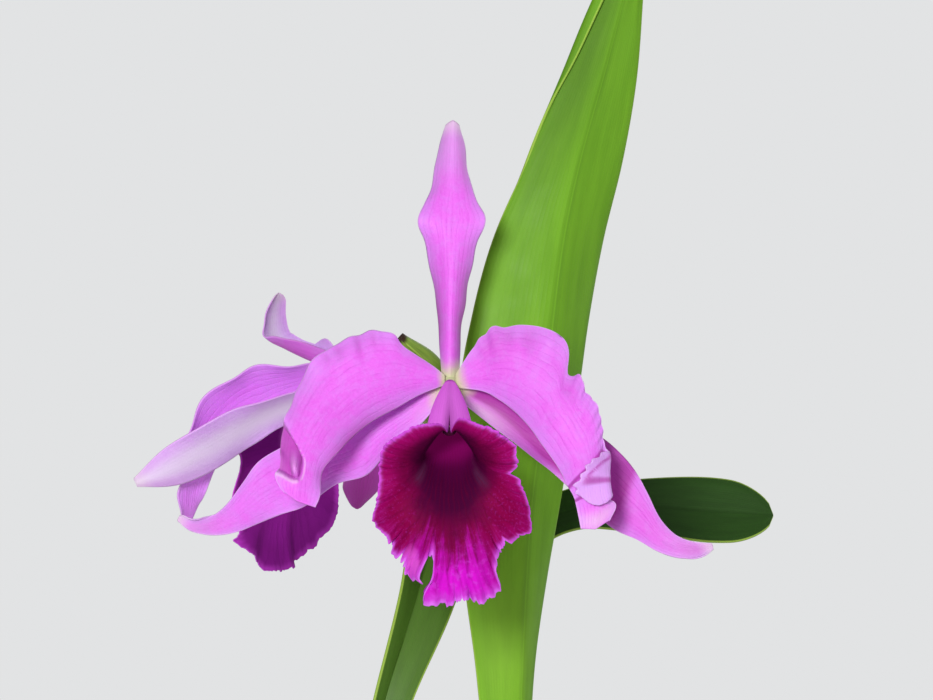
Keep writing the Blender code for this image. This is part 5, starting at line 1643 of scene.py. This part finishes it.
def bulb_axis(base, apex, t):
    """Points of a pseudobulb's axis, which bows a little as it leans."""
    lean = np.array((apex.x - base.x, apex.y - base.y, 0))
    foot = np.array(base) + (0, 0, GAP)
    t = np.asarray(t)[..., None]
    return foot + (np.array(apex) - foot) * t - lean * 0.25 * np.sin(np.pi * t)


def add_bloom(context, prefix, bloom, sepals, petals, lip_shape):
    """One bloom: its sepals, its petals, its lip and its column."""
    looks = context.scene.orchid_flower
    deep_back = tinted(looks.sepal_back, 0.85)
    faces = {
        "sepal": [
            petal_material("Sepal face", looks, looks.pink, looks.vein, PETAL_SPARKLE, tip=1.0, pale=0.012),
            petal_material(
                "Sepal back", looks, looks.sepal_back, deep_back, SEPAL_BACK_SPARKLE, tip=1.0, pale=-0.02,
                rib=SEPAL_BACK_RIB,
            ),
        ],
        "petal": [
            petal_material("Petal face", looks, looks.pink, looks.vein, PETAL_SPARKLE),
            petal_material("Petal back", looks, looks.back, looks.pink, PETAL_SPARKLE),
        ],
    }
    organs = [(word, shape, "sepal") for word, shape in sepals.items()]
    organs += [(word, shape, "petal") for word, shape in petals.items()]
    for seed, (word, shape, kind) in enumerate(organs):
        sheet = grow(shape, seed + len(prefix))
        add_sheet(prefix + word, sheet, faces[kind], looks.thickness, looks.margin, bloom)
    lip = lip_sheet(lip_shape, len(prefix))
    lip_looks = context.scene.orchid_lip
    lip_faces = [lip_material("Lip face", lip_looks), lip_material("Lip back", lip_looks, face=False)]
    add_sheet(prefix + "lip", lip, lip_faces, looks.thickness, looks.margin, bloom, soft_mm=3.0)
    add_column(context, prefix, bloom)


def add_column(context, prefix, bloom):
    """A bloom's column, with the anther cap at its tip."""
    looks = context.scene.orchid_flower
    points = settle(tube_points(COLUMN_ROUTE, COLUMN_RADII, 40, 32), bloom)
    mesh = rings_mesh(prefix + "column", [(points, 0.0)])
    # painted shade: the column is coloured in dark plum tones that stand in for the throat's shade around it
    finish = stem_material("Column", COLUMN_SHADE_PLUM, COLUMN_STREAK, COLUMN_SPOT, ribs=0, rough=0.45)
    add_piece(prefix + "column_growth", mesh, [prefix + "column"], [finish])
    tip = Vector(COLUMN_ROUTE[-1])
    ahead = (tip - Vector(COLUMN_ROUTE[-2])).normalized()
    made = bmesh.new()
    bmesh.ops.create_uvsphere(made, u_segments=28, v_segments=18, radius=1)
    turn = ahead.to_track_quat("Y", "Z")
    for corner in made.verts:
        notch = 1 - 0.22 * math.exp(-((corner.co.x / 0.18) ** 2)) * max(0, corner.co.z)
        local = Vector([part * size for part, size in zip(corner.co * notch, ANTHER_SIZE)])
        place = tip + ahead * (ANTHER_SIZE[1] + GAP) + turn @ local
        corner.co = Vector(settle(np.array([place]), bloom)[0]) * MM
    cap = prefix + "anther_cap"
    wax = anther_material("Anther cap", looks)
    add_piece(cap + "_growth", new_mesh(made, cap), [cap], [wax])


# Operators, one for each piece or group of like pieces


class ORCHID_OT_pot(bpy.types.Operator):
    """Turn the clay pot and drill its drain holes"""

    bl_idname = "orchid.pot"
    bl_label = "Clay Pot"
    bl_options = {"REGISTER", "UNDO"}

    FOOT, SHOULDER, WALL, FLOOR, BAND, EASE = 52.0, 73.0, 6.0, 8.0, 24.0, 5.0
    RIM_ROUND, BAND_ROUND, FOOT_ROUND, BAND_INSET = 2, 1.6, 2, 3.4
    DRAIN_HOLES, DRAIN_RADIUS, DRAIN_CIRCLE, DRAIN_TURN = 3, 6.0, 24.0, 0.25
    SHARP = math.radians(40)

    def inside(self, height):
        """The wall's inner radius at a height."""
        return self.FOOT + (self.SHOULDER - self.FOOT) / POT_HEIGHT * height - self.WALL

    def arc(self, centre, radius, start, end, steps=8):
        """Points of a quarter round, its angles in degrees."""
        turns = [math.radians(start + (end - start) * n / steps) for n in range(steps + 1)]
        return [(centre[0] + radius * math.cos(a), centre[1] + radius * math.sin(a)) for a in turns]

    def profile(self):
        """The pot's half section, from the middle of its floor over its rim to the middle of its foot."""
        band = POT_HEIGHT - self.BAND
        floor_edge = self.FLOOR + self.EASE
        rim, top = POT_RIM_RADIUS, POT_HEIGHT
        lip = self.inside(top)
        return (
            [(0, self.FLOOR)]
            + self.arc((self.inside(floor_edge) - self.EASE, floor_edge), self.EASE, -90, 0)
            + [(self.inside(band), band)]
            + self.arc((lip + self.RIM_ROUND, top - self.RIM_ROUND), self.RIM_ROUND, 180, 90, 6)
            + self.arc((rim - self.RIM_ROUND, top - self.RIM_ROUND), self.RIM_ROUND, 90, 0, 6)
            + self.arc((rim - self.BAND_INSET, band + self.BAND_ROUND), self.BAND_ROUND, 0, -90, 5)
            + [(self.inside(band) + self.WALL + 0.4, band - 0.2)]
            + self.arc((self.FOOT - self.FOOT_ROUND, self.FOOT_ROUND), self.FOOT_ROUND, 0, -90, 5)
            + [(0, 0)]
        )

    def execute(self, context):
        looks = context.scene.orchid_pot
        made = bmesh.new()
        line = [made.verts.new((radius * MM, 0, height * MM)) for radius, height in self.profile()]
        edges = [made.edges.new(pair) for pair in zip(line, line[1:])]
        bmesh.ops.spin(
            made, geom=line + edges, cent=(0, 0, 0), axis=(0, 0, 1), angle=2 * math.pi, steps=looks.sides,
            use_merge=True,
        )
        bmesh.ops.remove_doubles(made, verts=made.verts, dist=1e-6)
        bmesh.ops.recalc_face_normals(made, faces=made.faces)
        mesh = new_mesh(made, "pot", smooth=False)
        pot = add_piece("clay_pot", mesh, ["pot"], [clay_material("Fired clay", looks)])
        self.drill(context, pot)
        pot.data.shade_smooth()
        pot.data.set_sharp_from_angle(angle=self.SHARP)
        return {"FINISHED"}

    def drill(self, context, pot):
        """Cuts the drain holes out of the pot's floor."""
        holes = bpy.data.collections.new("pot_holes")
        context.scene.collection.children.link(holes)
        for n in range(self.DRAIN_HOLES):
            angle = 2 * math.pi * (n + self.DRAIN_TURN) / self.DRAIN_HOLES
            x, y = self.DRAIN_CIRCLE * math.cos(angle) * MM, self.DRAIN_CIRCLE * math.sin(angle) * MM
            bpy.ops.mesh.primitive_cylinder_add(
                vertices=32, radius=self.DRAIN_RADIUS * MM, depth=3 * self.FLOOR * MM,
                location=(x, y, self.FLOOR / 2 * MM),
            )
            hole = context.object
            for old in hole.users_collection:
                old.objects.unlink(hole)
            holes.objects.link(hole)
        cut = pot.modifiers.new("Drain", "BOOLEAN")
        cut.operand_type = "COLLECTION"
        cut.collection = holes
        cut.solver = "EXACT"
        context.view_layer.update()
        graph = context.evaluated_depsgraph_get()
        drilled = bpy.data.meshes.new_from_object(pot.evaluated_get(graph))
        if not drilled.polygons:
            raise RuntimeError("the drain holes left nothing of the pot")
        pot.modifiers.clear()
        pot.data = drilled
        for hole in list(holes.objects):
            bpy.data.objects.remove(hole)
        bpy.data.collections.remove(holes)


class ORCHID_OT_bark(bpy.types.Operator):
    """Fill the pot with bark"""

    bl_idname = "orchid.bark"
    bl_label = "Bark"
    bl_options = {"REGISTER", "UNDO"}

    SEED = 7
    SHARP = math.radians(50)
    CHIP_SIDES = ((12, 22), (8, 14), (4.5, 8.5))
    CHIP_LEVEL, CHIP_RISE = 5.5, (-1.6, 1.4)
    CHIP_LEAN, CHIP_ROUGH = 0.5, 0.13
    STEM_ROOM = 11
    PLUG_TOP = 5

    def block(self):
        """A cube cut into a fine grid, as its corners and faces."""
        made = bmesh.new()
        bmesh.ops.create_cube(made, size=1)
        bmesh.ops.subdivide_edges(made, edges=made.edges, cuts=3, use_grid_fill=True)
        made.verts.index_update()
        corners = [corner.co.copy() for corner in made.verts]
        faces = [[corner.index for corner in face.verts] for face in made.faces]
        made.free()
        return corners, faces

    def chip(self, made, tone_layer, draw, block, place, size):
        """One rough piece of bark: a block pushed about by noise and laid at a slant."""
        turn = Matrix.Rotation(draw.uniform(0, math.tau), 3, "Z")
        tip, roll = (Matrix.Rotation(draw.uniform(-self.CHIP_LEAN, self.CHIP_LEAN), 3, axis) for axis in "XY")
        shift, tone = Vector([draw.uniform(-50, 50) for _ in range(3)]), draw.random()
        taper = draw.uniform(0.0, 0.4)
        corners = []
        for corner in block[0]:
            co = corner.lerp(corner.normalized() * 0.62, 0.35)
            co.x *= 1 - taper * (co.y + 0.5)
            co += self.CHIP_ROUGH * noise.noise_vector(co * 3.1 + shift)
            co = Vector([part * side for part, side in zip(co, size)])
            corners.append(made.verts.new((Vector(place) + turn @ (tip @ roll) @ co) * MM))
            corners[-1][tone_layer] = tone
        for face in block[1]:
            made.faces.new([corners[n] for n in face])

    def execute(self, context):
        looks = context.scene.orchid_pot
        draw = random.Random(self.SEED)
        low, high = (corner.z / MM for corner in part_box("potting_bark"))
        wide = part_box("potting_bark")[1].x / MM
        made = bmesh.new()
        tone = made.verts.layers.float.new("tone")
        bmesh.ops.create_cone(
            made, cap_ends=True, segments=64, radius1=(wide - 18) * MM, radius2=(wide - 0.6) * MM,
            depth=(high - self.PLUG_TOP - low) * MM,
            matrix=Matrix.Translation((0, 0, (high - self.PLUG_TOP + low) / 2 * MM)),
        )
        golden, block = math.pi * (3 - math.sqrt(5)), self.block()
        for n in range(looks.chips):
            distance = (wide - 7) * math.sqrt((n + 0.5) / looks.chips)
            angle = n * golden + draw.uniform(-0.1, 0.1)
            x, y = distance * math.cos(angle), distance * math.sin(angle)
            size = [draw.uniform(*limits) for limits in self.CHIP_SIDES]
            near = min(math.dist((x, y), (base.x, base.y)) for base, _, _ in BULBS.values())
            if near < self.STEM_ROOM:
                size = [part * 0.5 for part in size]
            level = high - self.CHIP_LEVEL + draw.uniform(*self.CHIP_RISE)
            self.chip(made, tone, draw, block, (x, y, level), size)
        mesh = new_mesh(made, "potting_bark")
        mesh.set_sharp_from_angle(angle=self.SHARP)
        add_piece("bark_chips", mesh, ["potting_bark"], [bark_material("Bark", looks)])
        return {"FINISHED"}


class ORCHID_OT_rhizome(bpy.types.Operator):
    """Grow the creeping stem and its roots"""

    bl_idname = "orchid.rhizome"
    bl_label = "Rhizome and Roots"
    bl_options = {"REGISTER", "UNDO"}

    def execute(self, context):
        steps = 150
        body = tube_points(RHIZOME_ROUTE, RHIZOME_RADII, steps, 28, wobble=0.5)
        centre = body.mean(axis=1, keepdims=True)
        rings = np.sin(np.linspace(0, RHIZOME_RINGS * np.pi, steps))
        ringed = 1 + 0.07 * np.abs(rings)[:, None, None] ** 6
        tubes = [(centre + (body - centre) * ringed, 0.0)]
        for base, _, _ in BULBS.values():
            route = [(base.x, base.y, level) for level in (RHIZOME_LEVEL - 2, RHIZOME_LEVEL + 3, STUB_TOP)]
            tubes.append((tube_points(route, STUB_RADII, 14, 28, wobble=0.3), 0.0))
        for n, route in enumerate(ROOT_ROUTES):
            tubes.append((tube_points(route, ROOT_RADII, 60, 16, seed=n + 3, wobble=0.35), 1.0))
        mesh = rings_mesh("rhizome", tubes)
        finish = root_material("Rhizome and roots")
        add_piece("creeping_stem", mesh, ["rhizome"], [finish])
        return {"FINISHED"}


class ORCHID_OT_pseudobulbs(bpy.types.Operator):
    """Swell the furrowed stems that carry the leaves"""

    bl_idname = "orchid.pseudobulbs"
    bl_label = "Pseudobulbs"
    bl_options = {"REGISTER", "UNDO"}

    def execute(self, context):
        looks = context.scene.orchid_green
        finish = stem_material("Pseudobulb", looks.bulb, looks.shade, ribs=BULB_RIDGES)
        rows, sides = 110, 16 * BULB_RIDGES // 2
        for word, (base, apex, girth) in BULBS.items():
            t = np.linspace(0, 1, rows)
            angle = np.linspace(0, 2 * np.pi, sides, endpoint=False)
            shrink = np.sin(BULB_RIDGES * angle / 2)[None, :] ** 2 * np.sin(np.pi * t)[:, None]
            grooves = 0.02 * np.sin(BULB_RIDGES * 3 * angle)[None, :] * np.sin(np.pi * t)[:, None] ** 2
            radius = girth * spread(BULB_RADII, t)[:, None] * (1 - BULB_FURROW * shrink + grooves)
            ends = np.minimum(1, np.minimum(t, 1 - t) / 0.012) ** 0.5
            radius = radius * (0.72 + 0.28 * ends)[:, None]
            far = (t[:, None] - np.array(BULB_JOINTS)[None, :]) / 0.006
            joints = 0.5 * np.exp(-(far**2)).sum(axis=1)
            radius = radius + joints[:, None]
            ring = np.stack([np.cos(angle), np.sin(angle), np.zeros(sides)], axis=1)
            points = bulb_axis(base, apex, t)[:, None, :] + ring[None] * radius[..., None]
            mesh = rings_mesh("pseudobulb_" + word, [(points, 0.0)])
            add_piece("swollen_stem_" + word, mesh, ["pseudobulb_" + word], [finish])
        return {"FINISHED"}


class ORCHID_OT_husks(bpy.types.Operator):
    """Wrap dry bracts round the swollen stems"""

    bl_idname = "orchid.husks"
    bl_label = "Dry Husks"
    bl_options = {"REGISTER", "UNDO"}

    def execute(self, context):
        finish = husk_material("Dry husk", context.scene.orchid_green)
        u, v = np.linspace(0, 1, 60)[:, None], np.linspace(-1, 1, 120)[None, :]
        for seed, (word, (top, opening)) in enumerate(HUSKS.items()):
            base, apex, girth = BULBS[word]
            tear = np.abs(ripple(v[0], seed, 4.0)) + 0.5 * np.abs(ripple(v[0], seed + 5, 13.0))
            t = 0.02 + (top - 0.02) * u * (1 - 0.16 * tear[None, :] * u)
            crease = 0.25 * np.sin(17 * v + 3 * u + seed) + 0.15 * np.sin(41 * v + 7 * u)
            radius = girth * spread(BULB_RADII, t) + 1.1 * (1 + u) + crease * (0.3 + u)
            angle = np.radians(opening + v * HUSK_WRAP)
            ring = np.stack([np.cos(angle), np.sin(angle), np.zeros_like(angle)], axis=-1)
            points = bulb_axis(base, apex, t) + ring * radius[..., None]
            along, across = np.broadcast_to(u, t.shape), np.broadcast_to(v, t.shape)
            sheet = Sheet(points, along, across, margin_distance(points))
            add_sheet("husk_" + word, sheet, [finish, finish], 0.6 * MM, 0.6)
        return {"FINISHED"}


class ORCHID_OT_leaves(bpy.types.Operator):
    """Unfold the three leaves"""

    bl_idname = "orchid.leaves"
    bl_label = "Leaves"
    bl_options = {"REGISTER", "UNDO"}

    def execute(self, context):
        looks = context.scene.orchid_green
        young = leaf_material("Young leaf", looks, looks.leaf, looks.shade)
        # the second growth's leaf: its own deeper green, darkened further as painted shade
        ripe = leaf_material("Ripe leaf", looks, looks.ripe, tinted(looks.ripe, 0.75))
        old = leaf_material("Old leaf", looks, looks.dark, tinted(looks.dark, 0.7), gloss=0.32)
        finishes = {
            "leaf_tall": (young, "leaf"), "leaf_left": (ripe, "leaf"), "leaf_rear": (old, "leaf_dark"),
        }
        for seed, (name, shape) in enumerate(LEAVES.items()):
            finish, slot = finishes[name]
            sheet = stand(grow(shape, seed), BULBS[name.removeprefix("leaf_")][1].z + GAP)
            add_sheet(name, sheet, [finish, finish], LEAF_THICKNESS, 0.45, soft_mm=3.0)
        return {"FINISHED"}


class ORCHID_OT_stalk(bpy.types.Operator):
    """Raise the flower stalk out of its sheath"""

    bl_idname = "orchid.stalk"
    bl_label = "Stalk and Sheath"
    bl_options = {"REGISTER", "UNDO"}

    def execute(self, context):
        looks = context.scene.orchid_green
        cream = tuple(context.scene.orchid_flower.base)
        finish = stem_material("Stalk", looks.stalk, looks.bulb, ribs=6, far_end=cream)
        tubes = [
            (tube_points(STALK_ROUTE, STALK_RADII, 90, 24), 0.0),
            (tube_points(FRONT_PEDICEL, PEDICEL_RADII, 90, 36, ribs=6, rib_depth=0.12), 0.0),
            (tube_points(REAR_PEDICEL, PEDICEL_RADII, 90, 36, ribs=6, rib_depth=0.12), 0.0),
        ]
        add_piece("stalk_growth", rings_mesh("stalk", tubes), ["flower_stalk"], [finish])
        sheath = leaf_material("Sheath", looks, looks.sheath, looks.ripe, gloss=0.5, dry=True)
        add_sheet("flower_sheath", grow(SHEATH, 4), [sheath, sheath], 0.8 * MM, 0.6)
        return {"FINISHED"}


class ORCHID_OT_front_bloom(bpy.types.Operator):
    """Open the front bloom"""

    bl_idname = "orchid.front_bloom"
    bl_label = "Front Bloom"
    bl_options = {"REGISTER", "UNDO"}

    def execute(self, context):
        add_bloom(context, "front_", FRONT_BLOOM, FRONT_SEPALS, FRONT_PETALS, FRONT_LIP)
        return {"FINISHED"}


class ORCHID_OT_rear_bloom(bpy.types.Operator):
    """Open the rear bloom, seen from behind"""

    bl_idname = "orchid.rear_bloom"
    bl_label = "Rear Bloom"
    bl_options = {"REGISTER", "UNDO"}

    def execute(self, context):
        add_bloom(context, "rear_", REAR_BLOOM, REAR_SEPALS, REAR_PETALS, REAR_LIP)
        return {"FINISHED"}


class ORCHID_OT_studio(bpy.types.Operator):
    """Set the pale floor, the soft lights and the camera"""

    bl_idname = "orchid.studio"
    bl_label = "Studio"
    bl_options = {"REGISTER", "UNDO"}

    BACKDROP = 0.80
    FLOOR_RADIUS, FLOOR_FADE = 1.3, 0.95
    CAMERA = (1.28, -884.0, 441.2)
    SENSOR = 36.0
    AIM = Vector((0, 0, 430))
    AIR = (0.95, 0.96, 0.97)
    LAMPS = {
        "key": ((-210, -960, 600), 0.22),
        "fill": ((900, -500, 500), 0.9),
        "back": ((300, 900, 900), 0.8),
    }

    def lamp(self, context, name, place, size, power):
        """A round soft lamp that looks at the blooms."""
        data = bpy.data.lights.new(name, "AREA")
        data.shape, data.size, data.energy = "DISK", size, power
        lamp = bpy.data.objects.new(name, data)
        lamp.location = Vector(place) * MM
        lamp.rotation_euler = ((self.AIM - Vector(place)).to_track_quat("-Z", "Y")).to_euler()
        context.scene.collection.objects.link(lamp)

    def execute(self, context):
        looks = context.scene.orchid_studio
        made = bmesh.new()
        bmesh.ops.create_circle(made, cap_ends=True, segments=96, radius=self.FLOOR_RADIUS)
        mesh = new_mesh(made, "studio_floor", smooth=False)
        floor = bpy.data.objects.new("studio_floor", mesh)
        context.scene.collection.objects.link(floor)
        mesh.materials.append(floor_material("Studio floor", looks, self.FLOOR_RADIUS, self.FLOOR_FADE))
        for word, (place, size) in self.LAMPS.items():
            self.lamp(context, word + "_light", place, size, getattr(looks, word))
        world = bpy.data.worlds.new("Pale room")
        world.use_nodes = True
        room = Nodes(world.node_tree)
        seen = room.add("ShaderNodeLightPath").outputs["Is Camera Ray"]
        room.put(world.node_tree.nodes["Background"], {
            "Color": self.AIR,
            "Strength": room.span(seen, 0, 1, looks.sky, self.BACKDROP, smooth=False),
        })
        context.scene.world = world
        context.scene.view_settings.view_transform = "Standard"
        lens = bpy.data.cameras.new("camera")
        lens.lens, lens.sensor_width = looks.lens, self.SENSOR
        camera = bpy.data.objects.new("camera", lens)
        camera.location = Vector(self.CAMERA) * MM
        camera.rotation_euler = (math.radians(90), 0, 0)
        context.scene.collection.objects.link(camera)
        context.scene.camera = camera
        return {"FINISHED"}


SETTINGS = {
    "orchid_flower": OrchidFlowerLooks,
    "orchid_lip": OrchidLipLooks,
    "orchid_green": OrchidGreenLooks,
    "orchid_pot": OrchidPotLooks,
    "orchid_studio": OrchidStudio,
}
STEPS = (
    ORCHID_OT_pot,
    ORCHID_OT_bark,
    ORCHID_OT_rhizome,
    ORCHID_OT_pseudobulbs,
    ORCHID_OT_husks,
    ORCHID_OT_leaves,
    ORCHID_OT_stalk,
    ORCHID_OT_front_bloom,
    ORCHID_OT_rear_bloom,
    ORCHID_OT_studio,
)


class ORCHID_PT_builder(bpy.types.Panel):
    """Lists the steps and their settings"""

    bl_idname = "ORCHID_PT_builder"
    bl_label = "Cattleya Orchid"
    bl_space_type = "VIEW_3D"
    bl_region_type = "UI"
    bl_category = "Orchid"

    def draw(self, context):
        for step in STEPS:
            self.layout.operator(step.bl_idname)
        for name, group in SETTINGS.items():
            box = self.layout.box()
            for setting in group.__annotations__:
                box.prop(getattr(context.scene, name), setting)


def register():
    for name, group in SETTINGS.items():
        bpy.utils.register_class(group)
        setattr(bpy.types.Scene, name, PointerProperty(type=group))
    for made in (*STEPS, ORCHID_PT_builder):
        bpy.utils.register_class(made)


def unregister():
    for made in (ORCHID_PT_builder, *reversed(STEPS)):
        bpy.utils.unregister_class(made)
    for name, group in reversed(SETTINGS.items()):
        delattr(bpy.types.Scene, name)
        bpy.utils.unregister_class(group)


def main():
    register()
    for step in STEPS:
        group, name = step.bl_idname.split(".")
        getattr(getattr(bpy.ops, group), name)()


if __name__ == "__main__":
    main()
